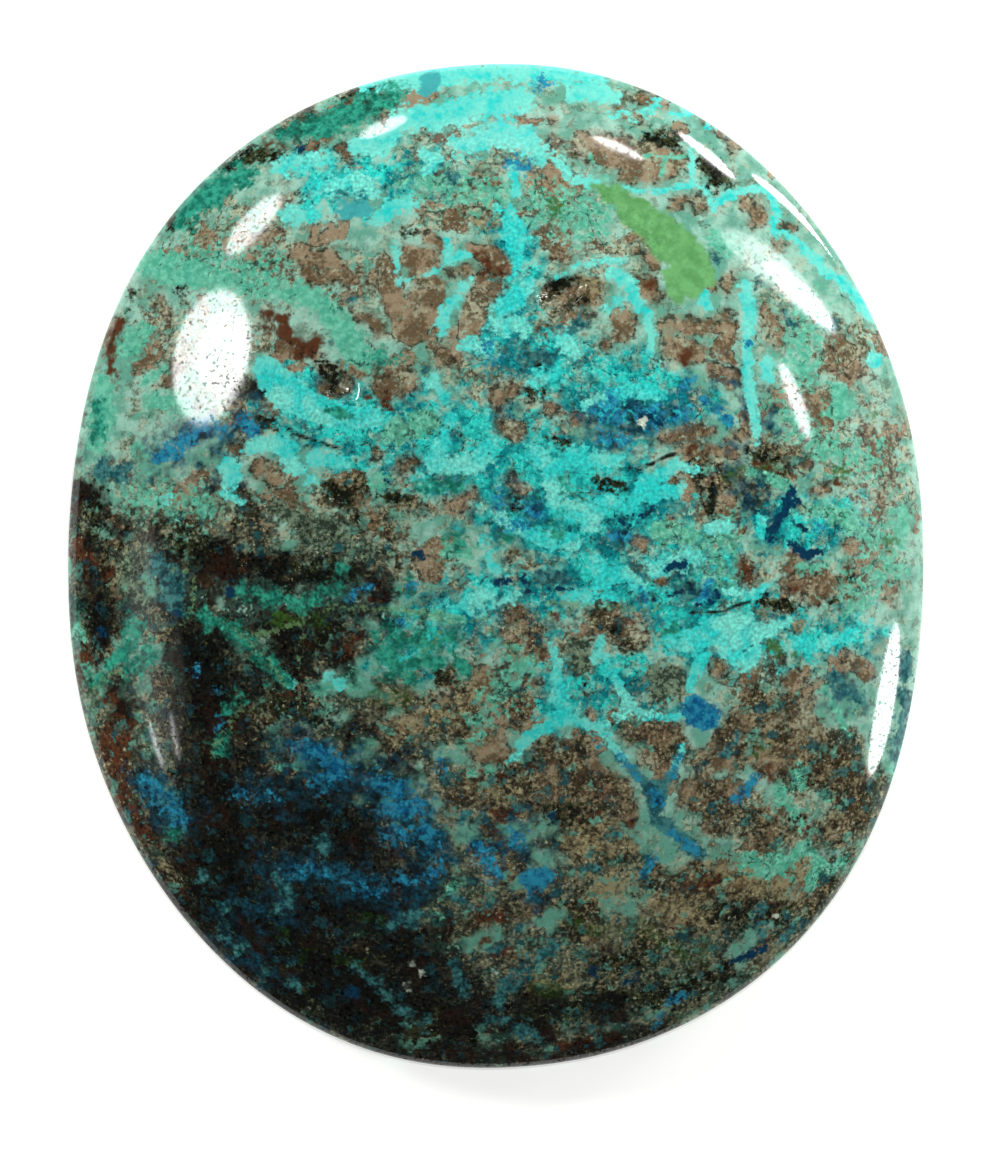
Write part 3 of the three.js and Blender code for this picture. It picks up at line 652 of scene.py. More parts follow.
TURQUOISE = (
    (CLEAN, (
        ((-8.5, 2.6, 0.12), (-8.0, 2.3, 0.12)),
        ((-5.4, -3.3, 0.16), (-5.0, -3.6, 0.14)),
        ((-6.9, -3.2, 0.14), (-6.6, -3.5, 0.18)),
        ((-7.0, 6.4, 0.45), (-6.3, 5.6, 0.6), (-5.3, 5.05, 0.42), (-4.4, 4.85, 0.4), (-3.6, 4.8, 0.28)),
        ((-8.25, 3.4, 0.36), (-8.2, 3.0, 0.3)),
        ((-7.7, 4.0, 0.18), (-7.1, 4.15, 0.26), (-6.5, 4.0, 0.32), (-6.3, 3.4, 0.28), (-6.0, 3.2, 0.18)),
        ((-5.6, 3.6, 0.24), (-4.7, 3.4, 0.24)),
        ((-1.2, 4.7, 0.18), (-1.6, 3.9, 0.2), (-1.85, 3.3, 0.32), (-1.3, 3.2, 0.28), (-0.6, 3.2, 0.32)),
        ((-0.6, 3.2, 0.32), (0.0, 3.7, 0.34)),
        ((-0.5, 9.0, 0.12), (-0.9, 8.5, 0.15), (-1.35, 8.0, 0.18), (-1.4, 7.4, 0.16)),
        ((-1.2, 10.4, 0.08), (-1.1, 9.7, 0.2), (-0.6, 9.85, 0.16)),
        ((-2.8, 10.3, 0.07), (-2.75, 9.6, 0.08), (-2.7, 9.0, 0.07)),
        ((-2.6, 9.1, 0.06), (-1.9, 9.2, 0.07), (-1.3, 9.5, 0.07)),
        ((1.0, 12.6, 0.18), (1.1, 11.7, 0.15)),
        ((0.9, 11.1, 0.24), (0.95, 10.5, 0.38), (1.05, 9.8, 0.26), (1.0, 9.2, 0.12)),
        ((1.3, 8.8, 0.26), (0.9, 8.3, 0.32), (0.4, 8.1, 0.24)),
        ((0.5, 11.3, 0.14),),
        ((3.0, 14.8, 0.28), (3.6, 14.9, 0.32), (4.3, 14.7, 0.22)),
        ((-3.9, 13.4, 0.28), (-3.2, 13.4, 0.36), (-2.7, 13.8, 0.22)),
        ((-1.8, 13.1, 0.18), (-1.45, 12.9, 0.26), (-1.7, 12.6, 0.2)),
        ((4.5, 11.8, 0.06), (5.2, 11.6, 0.08), (6.0, 11.7, 0.08), (6.8, 11.85, 0.09), (7.15, 11.6, 0.09)),
        ((7.15, 11.6, 0.09), (7.2, 11.2, 0.09)),
        ((6.6, 12.9, 0.09), (6.7, 12.5, 0.11), (6.6, 12.0, 0.06)),
        ((7.3, 11.1, 0.14), (7.7, 11.4, 0.14), (8.3, 11.6, 0.13), (8.75, 11.7, 0.12), (9.2, 11.3, 0.14)),
        ((9.2, 11.3, 0.14), (9.3, 10.8, 0.13), (9.15, 10.3, 0.13), (9.8, 10.05, 0.11), (10.2, 9.6, 0.16)),
        ((10.2, 9.6, 0.16), (10.6, 9.1, 0.16), (11.2, 8.65, 0.16), (11.8, 8.0, 0.18), (12.1, 7.4, 0.14)),
        ((4.0, 9.1, 0.22), (4.5, 8.8, 0.22), (4.75, 8.2, 0.18), (5.1, 7.6, 0.18), (5.15, 6.9, 0.15)),
        ((5.15, 6.9, 0.15), (5.1, 6.5, 0.1)),
        ((2.3, 9.0, 0.07), (3.0, 9.4, 0.09), (3.8, 9.45, 0.09), (4.6, 9.5, 0.06)),
        ((2.4, 12.7, 0.18), (2.9, 12.1, 0.18), (3.6, 12.0, 0.14)),
        ((8.2, 8.5, 0.22), (8.3, 7.6, 0.22), (8.2, 6.8, 0.16), (8.15, 5.8, 0.18), (8.3, 4.8, 0.18)),
        ((8.3, 4.8, 0.18), (8.4, 3.6, 0.1)),
        ((8.8, 6.1, 0.22), (8.8, 5.6, 0.18)),
        ((12.2, 6.1, 0.26),),
        ((6.8, 8.3, 0.18), (7.0, 7.9, 0.14)),
        ((4.4, 1.9, 0.24), (5.1, 2.1, 0.28), (5.9, 2.2, 0.2)),
        ((4.7, 2.4, 0.24), (5.3, 2.6, 0.24), (5.8, 3.0, 0.16), (6.4, 2.75, 0.16)),
        ((1.4, 3.5, 0.28), (1.9, 2.8, 0.32), (2.0, 1.8, 0.32), (2.7, 1.5, 0.28), (3.4, 1.8, 0.26)),
        ((3.4, 1.8, 0.26), (3.0, 1.2, 0.32)),
        ((0.2, 1.5, 0.18), (0.8, 1.1, 0.18), (1.6, 0.8, 0.28), (2.4, 0.7, 0.28)),
        ((3.2, 0.0, 0.24), (3.4, -0.5, 0.38), (3.9, -0.3, 0.24), (4.5, -0.8, 0.24)),
        ((-0.2, -0.75, 0.28), (-0.9, -1.05, 0.2)),
        ((-0.2, 0.3, 0.14), (0.0, -0.2, 0.18)),
        ((5.3, -2.5, 0.18), (6.0, -2.6, 0.38), (6.9, -2.35, 0.38), (7.6, -2.5, 0.46), (8.3, -2.4, 0.28)),
        ((8.3, -2.4, 0.28), (9.1, -2.1, 0.14)),
        ((6.5, -2.0, 0.18), (7.3, -1.95, 0.22), (7.9, -2.0, 0.18)),
        ((7.2, -2.9, 0.28), (7.7, -3.3, 0.32), (8.1, -3.0, 0.26)),
        ((6.4, -3.1, 0.24), (6.1, -3.7, 0.2), (6.0, -4.1, 0.14)),
        ((7.2, -1.0, 0.12), (8.0, -1.2, 0.14), (8.6, -0.9, 0.12)),
        ((9.4, -2.8, 0.18), (10.0, -2.9, 0.22), (10.6, -2.7, 0.18), (11.2, -2.6, 0.22)),
        ((1.7, -2.6, 0.12), (1.8, -3.4, 0.18), (1.8, -4.1, 0.22), (2.0, -4.7, 0.32), (1.5, -5.1, 0.22)),
        ((1.5, -5.1, 0.22), (0.8, -5.4, 0.18), (0.4, -6.0, 0.13), (0.2, -6.2, 0.1)),
        ((2.0, -4.8, 0.24), (2.7, -5.1, 0.16), (3.3, -5.2, 0.16)),
        ((3.2, -2.5, 0.2), (3.0, -3.1, 0.12)),
        ((3.3, -2.8, 0.12), (3.6, -3.6, 0.12), (3.9, -4.2, 0.14), (4.1, -4.7, 0.22), (3.6, -4.9, 0.16)),
        ((4.3, -4.8, 0.16), (5.3, -5.0, 0.13), (5.8, -4.9, 0.1)),
        ((7.3, 1.0, 0.22), (6.7, 0.9, 0.14)),
        ((3.3, -5.5, 0.12), (3.8, -6.2, 0.12)),
        ((5.7, -5.9, 0.1), (5.4, -6.5, 0.1)),
        ((8.4, 1.2, 0.18), (8.4, 0.6, 0.14)),
    )),
    (RAGGED, (
        ((-1.6, -1.2, 0.15), (-0.6, -1.4, 0.2), (0.4, -1.0, 0.16)),
        ((2.2, -1.0, 0.16), (3.0, -1.1, 0.22), (3.7, -1.1, 0.16)),
        ((3.6, 2.0, 0.25), (4.4, 1.5, 0.25)),
        ((-3.6, 15.4, 0.22), (-2.2, 15.5, 0.36), (-0.8, 15.6, 0.36), (0.8, 15.7, 0.36), (2.4, 15.5, 0.32)),
        ((2.4, 15.5, 0.32), (3.8, 15.3, 0.28)),
        ((-2.6, 14.2, 0.36), (-1.2, 14.3, 0.45), (0.2, 14.6, 0.45), (1.3, 14.7, 0.45)),
        ((-0.6, 13.3, 0.36), (0.6, 13.6, 0.45), (1.4, 13.5, 0.4), (1.9, 12.9, 0.32)),
        ((-5.2, 12.2, 0.28), (-4.0, 12.3, 0.32), (-3.4, 12.0, 0.22)),
        ((-6.1, 11.3, 0.28), (-5.3, 11.3, 0.22)),
        ((-3.3, 11.2, 0.28), (-2.4, 11.6, 0.32)),
        ((-6.3, 12.9, 0.28), (-5.0, 13.0, 0.28)),
        ((0.3, 7.6, 0.32), (1.0, 7.5, 0.32)),
        ((2.4, 7.0, 0.28), (2.7, 6.6, 0.22)),
        ((1.5, 5.9, 0.22), (2.2, 5.9, 0.18)),
        ((-1.8, 5.9, 0.22), (-1.5, 5.5, 0.22)),
        ((-0.7, 7.0, 0.22), (-0.2, 6.9, 0.22)),
        ((3.0, 5.0, 0.18), (4.6, 5.4, 0.22), (5.2, 5.2, 0.22)),
        ((2.5, 3.3, 0.36), (3.9, 3.2, 0.22)),
        ((4.2, 8.2, 0.14), (3.8, 8.0, 0.14)),
        ((5.0, -0.3, 0.28), (6.2, 0.0, 0.28)),
        ((4.2, 14.1, 0.1), (5.4, 14.2, 0.12), (5.7, 14.6, 0.1)),
        ((6.1, 14.0, 0.1), (6.7, 14.1, 0.12)),
        ((7.3, 13.6, 0.14),),
        ((-10.3, 2.5, 0.16),),
        ((-5.7, 2.9, 0.2),),
    )),
)
SKY = (
    (CLEAN, (
        ((-4.4, 11.4, 0.26), (-3.8, 11.4, 0.28)),
        ((-1.6, 15.2, 0.28), (-1.5, 15.4, 0.26)),
    )),
)
TEAL = (
    (RAGGED, (
        ((-12.4, 5.6, 0.2), (-12.5, 4.6, 0.2)),
        ((-3.2, -2.2, 0.3), (-2.2, -2.4, 0.3), (-1.4, -2.2, 0.25)),
        ((-2.6, -3.0, 0.3), (-1.8, -2.9, 0.25)),
        ((-9.6, 11.2, 0.3), (-8.9, 12.0, 0.5), (-8.0, 12.5, 0.45), (-7.4, 12.6, 0.3)),
        ((-8.1, -0.5, 0.14), (-7.0, -0.8, 0.2), (-6.1, -0.95, 0.24), (-5.5, -0.75, 0.24), (-5.0, -0.5, 0.16)),
        ((-9.6, -1.1, 0.12), (-9.0, -1.4, 0.2), (-8.4, -1.7, 0.22), (-7.8, -2.3, 0.18), (-7.2, -2.9, 0.22)),
        ((-7.2, -2.9, 0.22), (-6.9, -3.3, 0.3)),
        ((-9.0, -5.4, 0.24), (-8.7, -5.0, 0.1)),
        ((-11.6, -2.9, 0.3), (-11.0, -2.3, 0.3)),
        ((-8.6, -4.2, 0.14), (-8.2, -3.8, 0.12)),
        ((-6.2, 13.9, 0.28), (-4.8, 14.2, 0.42), (-3.6, 14.6, 0.42), (-2.6, 15.1, 0.3)),
        ((-3.8, -2.5, 0.22), (-3.4, -2.8, 0.28), (-2.7, -3.4, 0.22), (-3.6, -3.3, 0.18)),
        ((-1.5, -2.6, 0.2), (-1.2, -3.2, 0.2)),
        ((-11.5, -1.3, 0.18), (-11.5, -2.2, 0.28), (-12.2, -2.6, 0.14), (-12.7, -3.3, 0.18)),
        ((-3.6, 6.7, 0.14), (-2.8, 6.8, 0.14)),
        ((-2.4, 2.6, 0.22), (-1.7, 2.5, 0.22), (-1.0, 2.6, 0.18)),
        ((-1.3, 1.0, 0.2), (-1.0, 0.8, 0.2)),
        ((-4.8, 5.0, 0.2), (-4.4, 5.0, 0.16)),
        *spots(0.14, ((-4.9, 0.1), (2.3, 1.6))),
        *spots(0.16, ((-3.8, -2.0), (-10.5, -8.1), (-2.8, -0.6))),
        *spots(0.2, ((-2.5, -2.2), (5.3, -2.2), (0.4, 0.8))),
        *spots(0.18, ((2.3, 2.4), (1.9, 1.0))),
    )),
)
AZURITE = (
    (RAGGED, (
        ((-10.5, 3.8, 0.18), (-10.0, 4.0, 0.22), (-9.6, 4.4, 0.22), (-8.9, 4.8, 0.18), (-8.4, 4.5, 0.14)),
        ((2.0, 15.2, 0.18),),
        ((0.9, 12.7, 0.15), (1.4, 12.6, 0.15)),
        ((3.4, 4.8, 0.18), (3.9, 4.5, 0.28), (3.8, 5.2, 0.18)),
        ((3.5, 3.9, 0.16), (4.3, 3.7, 0.14)),
        ((4.7, 4.6, 0.18), (5.2, 4.7, 0.22), (5.1, 4.3, 0.18)),
        ((5.6, 4.4, 0.16), (6.2, 4.6, 0.18)),
        ((6.0, 5.2, 0.14), (6.3, 5.6, 0.14)),
        ((1.1, 1.8, 0.16), (1.4, 1.6, 0.18)),
        ((0.2, 1.9, 0.12), (0.2, 2.3, 0.12)),
        ((0.5, 1.3, 0.14), (1.0, 1.2, 0.14)),
        ((3.8, 0.8, 0.14), (4.1, 0.8, 0.12)),
        ((4.6, -1.2, 0.16), (4.5, -1.0, 0.1)),
        ((-11.4, -6.3, 0.22), (-11.1, -6.8, 0.28), (-10.5, -7.2, 0.28), (-10.3, -7.7, 0.28)),
        ((-8.4, -6.9, 0.13), (-7.9, -7.0, 0.1), (-7.3, -7.0, 0.1)),
        ((-6.5, -5.5, 0.22), (-5.6, -5.7, 0.28), (-5.2, -6.3, 0.36), (-5.8, -6.7, 0.28)),
        ((-4.0, -6.6, 0.28), (-3.3, -7.0, 0.32)),
        ((-3.8, -7.6, 0.22), (-2.7, -7.5, 0.28)),
        ((-3.6, -8.3, 0.32), (-3.2, -8.4, 0.18)),
        ((-2.6, -8.3, 0.28), (-2.3, -8.7, 0.22)),
        ((-2.2, -9.5, 0.22), (-2.8, -9.8, 0.18), (-3.7, -9.8, 0.12)),
        ((-7.0, -9.5, 0.14), (-6.3, -9.3, 0.16), (-5.4, -9.5, 0.15), (-4.8, -9.9, 0.16), (-4.2, -10.1, 0.14)),
        ((0.3, -8.6, 0.24),),
        ((-0.9, -8.8, 0.18), (-0.5, -9.4, 0.18), (-0.3, -9.8, 0.14)),
        *spots(0.16, ((0.2, 6.5), (-1.9, -6.2))),
        *spots(0.12, ((0.0, 6.9), (-2.7, -0.6), (-8.9, -4.7))),
        *spots(0.14, ((10.2, 0.9), (-9.6, -3.0))),
    )),
    (CLEAN, (
        ((3.7, -6.1, 0.06), (4.3, -6.9, 0.08)),
        ((4.7, -7.3, 0.16), (4.9, -7.6, 0.18)),
        ((5.6, -6.2, 0.07), (5.3, -6.8, 0.08)),
        ((5.1, -8.5, 0.1), (5.6, -8.9, 0.16), (6.0, -9.2, 0.1)),
        ((-7.8, 4.9, 0.2), (-7.5, 4.5, 0.22)),
        ((6.7, 5.0, 0.13), (7.2, 4.6, 0.13), (7.6, 4.25, 0.12)),
        ((8.2, 6.7, 0.12),),
        ((-4.6, -0.85, 0.11), (-4.4, -0.6, 0.11), (-3.9, -0.5, 0.09)),
        ((-3.0, -1.7, 0.13),),
        ((6.5, -1.2, 0.18), (6.7, -0.8, 0.1)),
        ((6.1, -4.7, 0.42), (6.5, -5.0, 0.42), (6.1, -5.0, 0.36)),
        ((3.0, -5.7, 0.11),),
        ((8.0, -6.9, 0.11), (7.6, -7.4, 0.13), (7.2, -7.7, 0.1)),
        ((0.7, -9.9, 0.28), (1.2, -9.8, 0.28), (0.8, -10.2, 0.22)),
        ((4.7, -9.4, 0.11), (4.3, -9.9, 0.11)),
        ((5.0, -14.0, 0.09), (5.5, -13.7, 0.09)),
        ((4.8, -14.3, 0.06), (4.5, -14.8, 0.06)),
        ((-9.0, -3.6, 0.08),),
    )),
)
NAVY = (
    (CLEAN, (
        ((9.4, 2.05, 0.16), (9.2, 1.5, 0.14), (8.9, 1.0, 0.17), (8.65, 0.6, 0.15)),
        ((9.4, 0.3, 0.14), (9.8, 0.0, 0.18), (10.4, 0.15, 0.13)),
        ((9.4, 1.1, 0.05), (9.9, 0.7, 0.06)),
        ((3.3, 1.2, 0.04), (3.8, 1.4, 0.06), (4.2, 1.1, 0.05), (4.1, 0.9, 0.05)),
        ((4.2, 1.4, 0.06), (4.8, 1.45, 0.07), (5.0, 1.6, 0.06)),
        ((-2.5, 0.5, 0.13), (-2.3, 0.4, 0.1)),
        ((5.4, -0.25, 0.13), (5.9, -0.15, 0.16)),
        ((5.0, -1.2, 0.05), (5.6, -1.1, 0.06), (5.8, -1.0, 0.05)),
        ((6.3, -1.45, 0.05), (6.7, -1.45, 0.06), (6.95, -1.2, 0.06), (6.9, -0.95, 0.05)),
        ((0.0, -0.5, 0.13), (0.4, -0.5, 0.11)),
        ((1.0, -0.85, 0.05), (2.3, -0.8, 0.06)),
        ((-8.4, -0.5, 0.14),),
        ((7.0, -12.8, 0.1), (7.5, -12.6, 0.13), (8.1, -12.4, 0.1)),
        ((4.9, 4.55, 0.1), (5.3, 4.3, 0.1)),
        ((2.6, -12.9, 0.18),),
        ((3.6, -13.3, 0.11), (4.0, -13.15, 0.1)),
        ((-5.0, -13.3, 0.22),),
        *spots(0.13, ((9.6, 1.7), (0.9, -0.5), (1.5, -7.9))),
        *spots(0.15, ((-5.7, 13.4), (-12.5, -1.6))),
        *spots(0.12, ((-10.1, -1.1), (4.8, -7.6))),
        *spots(0.1, ((-7.7, 4.7), (-3.3, 2.8))),
    )),
)
MALACHITE = (
    (CLEAN, (
        ((3.5, 11.9, 0.1), (4.2, 11.55, 0.36), (4.8, 11.0, 0.48), (5.6, 10.3, 0.58), (6.3, 9.6, 0.66)),
        ((6.3, 9.6, 0.66), (6.7, 9.0, 0.56), (6.5, 8.6, 0.42)),
        ((6.0, 9.0, 0.4), (6.1, 8.2, 0.22)),
    )),
)
MOSS = (
    (RAGGED, (
        ((-7.0, -1.4, 0.16), (-5.6, -1.5, 0.16)),
        ((-3.9, -3.9, 0.2), (-3.0, -4.1, 0.2)),
        ((2.2, 11.3, 0.18), (2.4, 11.0, 0.16)),
        ((2.0, -11.3, 0.14), (2.6, -11.6, 0.14), (3.5, -11.7, 0.12), (4.2, -11.5, 0.12), (4.7, -12.0, 0.12)),
        ((4.7, -12.0, 0.12), (5.2, -12.3, 0.12), (5.8, -12.8, 0.1)),
        ((6.2, -12.3, 0.18), (6.0, -12.6, 0.18)),
        ((-7.2, -11.3, 0.13),),
        ((0.9, -13.3, 0.25), (1.6, -13.5, 0.2)),
        *spots(0.12, ((-6.6, -12.1), (12.1, 4.3), (12.5, 0.3))),
        *spots(0.14, ((11.0, 2.5), (8.2, -6.1))),
    )),
    (CLEAN, (
        ((8.65, -2.85, 0.24), (8.75, -2.95, 0.16)),
        ((-4.8, -10.9, 0.09), (-4.0, -11.0, 0.09)),
        ((-5.5, -12.2, 0.07), (-4.6, -12.4, 0.09), (-4.2, -12.2, 0.07)),
        ((7.3, 2.5, 0.11), (7.9, 2.8, 0.13)),
        ((8.4, 2.8, 0.07), (9.2, 2.7, 0.07)),
        ((9.3, -3.1, 0.1),),
    )),
)
CRACKS = (
    (CLEAN, (
        ((-2.2, 5.0, 0.02), (-1.5, 4.5, 0.03), (-0.9, 4.1, 0.03), (0.1, 3.4, 0.03), (0.9, 3.6, 0.02)),
        ((-6.6, 4.7, 0.02), (-6.0, 4.3, 0.05), (-5.0, 3.95, 0.05), (-4.3, 3.7, 0.02)),
        ((4.0, 2.9, 0.02), (5.0, 3.0, 0.05), (5.6, 3.3, 0.05), (6.3, 3.3, 0.04)),
        ((6.1, -1.7, 0.04), (6.6, -1.7, 0.05), (7.1, -1.7, 0.05), (7.6, -1.5, 0.05), (8.0, -1.4, 0.05)),
        ((2.5, 2.2, 0.02), (3.0, 1.9, 0.02), (3.5, 1.7, 0.02)),
        ((-3.9, 7.3, 0.03), (-3.4, 6.8, 0.03)),
        ((1.1, 5.0, 0.03), (1.4, 4.6, 0.02)),
        ((6.6, -3.3, 0.04), (6.6, -3.7, 0.04), (7.0, -3.85, 0.04), (7.25, -3.6, 0.04)),
        ((6.9, 6.25, 0.03), (7.9, 5.9, 0.03), (7.9, 5.1, 0.03)),
    )),
)
LIME = (
    (CLEAN, (
        ((-7.9, -1.95, 0.02), (-6.9, -1.75, 0.03), (-5.9, -1.4, 0.02)),
        ((-6.1, -1.5, 0.02), (-6.2, -2.2, 0.02), (-6.3, -2.9, 0.02)),
        ((-10.3, 0.3, 0.01), (-9.6, 0.1, 0.03), (-9.55, -0.4, 0.02), (-9.7, -1.3, 0.02), (-10.1, -1.5, 0.01)),
        ((-5.3, -1.1, 0.03), (-3.4, -1.25, 0.05), (-2.0, -1.4, 0.06), (-1.6, -1.7, 0.04), (-1.0, -1.8, 0.03)),
        ((-1.0, -1.8, 0.03), (-0.4, -1.6, 0.03), (0.1, -1.3, 0.02)),
        ((-1.6, -1.7, 0.03), (-2.0, -2.3, 0.02), (-2.4, -2.6, 0.02)),
        ((1.5, -1.7, 0.02), (1.6, -1.2, 0.03), (3.0, -1.35, 0.03), (4.0, -1.45, 0.04), (5.2, -1.6, 0.03)),
        ((-0.2, -2.0, 0.02), (0.6, -2.85, 0.03), (1.2, -3.1, 0.02)),
        ((-13.0, -3.6, 0.02), (-12.4, -3.0, 0.03), (-11.9, -2.9, 0.02)),
        ((-8.6, -1.5, 0.01), (-7.6, -2.3, 0.02), (-6.7, -3.6, 0.02)),
        ((-9.2, -5.6, 0.01), (-8.8, -5.0, 0.02), (-8.2, -4.2, 0.02), (-7.6, -4.3, 0.01)),
    )),
)
PALE = (
    (CLEAN, (
        # A painted glint in the first pit.
        ((-4.7, 5.85, 0.1),),
        ((8.5, -11.4, 0.07),),
        ((-0.5, -12.8, 0.08),),
        ((4.8, 4.4, 0.14),),
        *spots(0.09, ((-3.1, -12.5), (-2.8, -12.8), (-3.3, -13.2))),
    )),
)
MARKS = {
    "earth": EARTH,
    "stain_and_shade": STAIN_AND_SHADE,
    "cement": CEMENT,
    "grit": GRIT,
    "blue": BLUE,
    "soot": SOOT_AND_SHADE,
    "tan": TAN,
    "brown": BROWN,
    "grey": GREY,
    "rust": RUST,
    "seafoam": SEAFOAM,
    "steel": STEEL,
    "turquoise": TURQUOISE,
    "teal": TEAL,
    "sky": SKY,
    "lime": LIME,
    "pale": PALE,
    "azurite": AZURITE,
    "navy": NAVY,
    "malachite": MALACHITE,
    "moss": MOSS,
    "cracks": CRACKS,
}

# Lamps, each given by its reflection on the dome: both ends and width in millimetres, and brightness
LAMPS = {
    "left_window": ((-8.0, 8.6), (-8.9, 6.2), 1.6, 5.0),
    "left_pane": ((-8.0, 9.4), (-9.4, 5.3), 2.3, 6.0),
    "left_lamp": ((-8.2, 10.4), (-6.4, 12.2), 0.7, 6.0),
    "top_strip": ((-3.8, 13.9), (-2.3, 14.5), 0.35, 6.0),
    "top_right_strip": ((3.6, 13.7), (5.15, 12.95), 0.2, 12.0),
    "corner_strip": ((6.25, 13.65), (7.95, 12.2), 0.22, 14.0),
    "rim_strip": ((8.45, 12.35), (11.2, 9.25), 0.14, 16.0),
    "right_lamp": ((8.9, 9.5), (11.0, 7.4), 0.55, 9.0),
    "right_glow": ((7.5, 10.6), (11.1, 7.3), 0.9, 3.5),
    "right_strip": ((9.35, 6.3), (10.2, 3.8), 0.4, 9.0),
    "side_window": ((12.6, -2.8), (11.5, -7.5), 0.5, 8.0),
    "right_sheen": ((11.4, 7.6), (12.2, -3.8), 1.4, 0.3),
    "top_sheen": ((-1.2, 13.8), (5.2, 13.4), 1.3, 0.35),
    "left_sheen": ((-11.0, 2.0), (-10.3, -6.9), 0.9, 0.18),
    "left_veil": ((-11.0, 1.0), (-10.3, -6.2), 1.7, 0.12),
    "left_streak": ((-11.25, -4.7), (-10.85, -6.2), 0.1, 5.0),
    "left_thread": ((-10.6, -4.4), (-10.35, -6.0), 0.08, 4.0),
}
LAMP_DISTANCE = 0.35

# Step over the dome that its slope is measured with, in millimetres
SLOPE_STEP = 0.02

# Floor, in metres across
FLOOR_SIZE = 4.0
FLOOR_ROUGHNESS = 0.9

# Camera over the middle of the photo's frame
CAMERA_HEIGHT = 0.6
CAMERA_PLACE = (0.000125, -0.00028)
CAMERA_TURN = math.radians(-2.076)
FRAME_HEIGHT = 0.03653
SENSOR = 36.0


def linear(red, green, blue):
    """A colour given as it is seen, 0 to 255, in linear light."""
    shares = (red / 255.0, green / 255.0, blue / 255.0)
    return tuple(s / 12.92 if s <= 0.04045 else ((s + 0.055) / 1.055) ** 2.4 for s in shares)


def colour_setting(label, red, green, blue):
    """A colour that a user can change."""
    return FloatVectorProperty(
        name=label,
        description=f"Colour of the {label.lower()}",
        default=linear(red, green, blue),
        size=3,
        min=0.0,
        max=1.0,
        subtype="COLOR",
    )


class CabochonShape(bpy.types.PropertyGroup):
    """Sizes of the stone."""

    length: FloatProperty(
        name="Length",
        description="Length of the oval",
        default=STONE_BOX[1][1] - STONE_BOX[0][1] - TRIM,
        unit="LENGTH",
    )
    width: FloatProperty(
        name="Width",
        description="Width of the oval",
        default=WIDTH - TRIM,
        unit="LENGTH",
    )
    thickness: FloatProperty(
        name="Thickness",
        description="Height of the dome over the back",
        default=STONE_BOX[1][2],
        unit="LENGTH",
    )
    girdle: FloatProperty(
        name="Girdle",
        description="Height where the dome begins",
        default=GIRDLE_TOP,
        unit="LENGTH",
    )
    lean: FloatProperty(
        name="Lean",
        description="How far the girdle leans in",
        default=GIRDLE_LEAN,
        unit="LENGTH",
    )
    bevel: FloatProperty(
        name="Bevel",
        description="Bevel round the flat back",
        default=BEVEL,
        unit="LENGTH",
    )


class CabochonColours(bpy.types.PropertyGroup):
    """Colours of the minerals."""

    cement_pale: colour_setting("Pale cement", 168, 220, 198)
    cement_deep: colour_setting("Deep cement", 110, 180, 156)
    vivid_pale: colour_setting("Pale vivid cement", 50, 228, 214)
    vivid_deep: colour_setting("Deep vivid cement", 0, 140, 146)
    grit_pale: colour_setting("Pale grit", 190, 200, 168)
    grit_dark: colour_setting("Dark grit", 96, 90, 66)
    earth_pale: colour_setting("Pale earth", 150, 142, 106)
    earth_dark: colour_setting("Dark earth", 42, 36, 18)
    # Soot is black rock, partly painted shade.
    soot: colour_setting("Soot", 12, 16, 4)
    soot_and_shade_pale: colour_setting("Pale soot", 64, 70, 40)
    tan: colour_setting("Tan", 164, 156, 116)
    brown_pale: colour_setting("Pale brown", 166, 148, 118)
    brown_dark: colour_setting("Dark brown", 112, 94, 68)
    grey_pale: colour_setting("Pale grey", 128, 152, 124)
    grey_dark: colour_setting("Dark grey", 56, 72, 58)
    rust: colour_setting("Rust", 96, 58, 34)
    umber: colour_setting("Umber", 48, 26, 12)
    seafoam_pale: colour_setting("Pale seafoam", 128, 218, 186)
    seafoam_deep: colour_setting("Deep seafoam", 84, 188, 156)
    blue_pale: colour_setting("Pale blue cloud", 20, 88, 110)
    blue_deep: colour_setting("Deep blue cloud", 8, 38, 46)
    steel_pale: colour_setting("Pale steel blue", 74, 144, 142)
    steel_deep: colour_setting("Deep steel blue", 28, 86, 92)
    turquoise_pale: colour_setting("Pale turquoise", 126, 238, 220)
    turquoise_deep: colour_setting("Deep turquoise", 42, 222, 214)
    teal_pale: colour_setting("Pale teal", 58, 178, 148)
    teal_deep: colour_setting("Deep teal", 22, 118, 98)
    sky: colour_setting("Sky blue", 72, 182, 182)
    # Pale crystals, and a painted glint in the first pit.
    pale: colour_setting("Pale crystal", 214, 228, 208)
    scrap: colour_setting("Scraps in the earth", 100, 166, 142)
    lime: colour_setting("Lime", 124, 166, 112)
    azurite_pale: colour_setting("Pale azurite", 46, 156, 186)
    azurite_deep: colour_setting("Deep azurite", 4, 98, 146)
    navy: colour_setting("Navy", 2, 58, 88)
    malachite_pale: colour_setting("Pale malachite", 120, 192, 120)
    malachite_deep: colour_setting("Deep malachite", 98, 164, 98)
    moss: colour_setting("Moss", 64, 110, 36)
    crack: colour_setting("Crack", 24, 30, 22)


class CabochonStage(bpy.types.PropertyGroup):
    """Settings of the floor and the light."""

    floor: colour_setting("Floor", 244, 244, 242)
    floor_glow: FloatProperty(name="Floor glow", description="The floor's own light", default=0.8, min=0.0)
    light: FloatProperty(name="Light", description="Brightness of all the lamps", default=2.65, min=0.0)
    sky: FloatProperty(name="Sky", description="Brightness all round", default=0.1, min=0.0)


def oval_reach(shape, angle):
    """Distance from the middle to the oval's edge in a direction."""
    across = np.abs(np.cos(angle) / (shape.width / 2.0)) ** OVAL_POWER
    along = np.abs(np.sin(angle) / (shape.length / 2.0)) ** OVAL_POWER
    wander = WOBBLE_DEPTH * MM * np.cos(WOBBLE_LOBES * (angle - WOBBLE_START))
    return (across + along) ** (-1.0 / OVAL_POWER) + wander


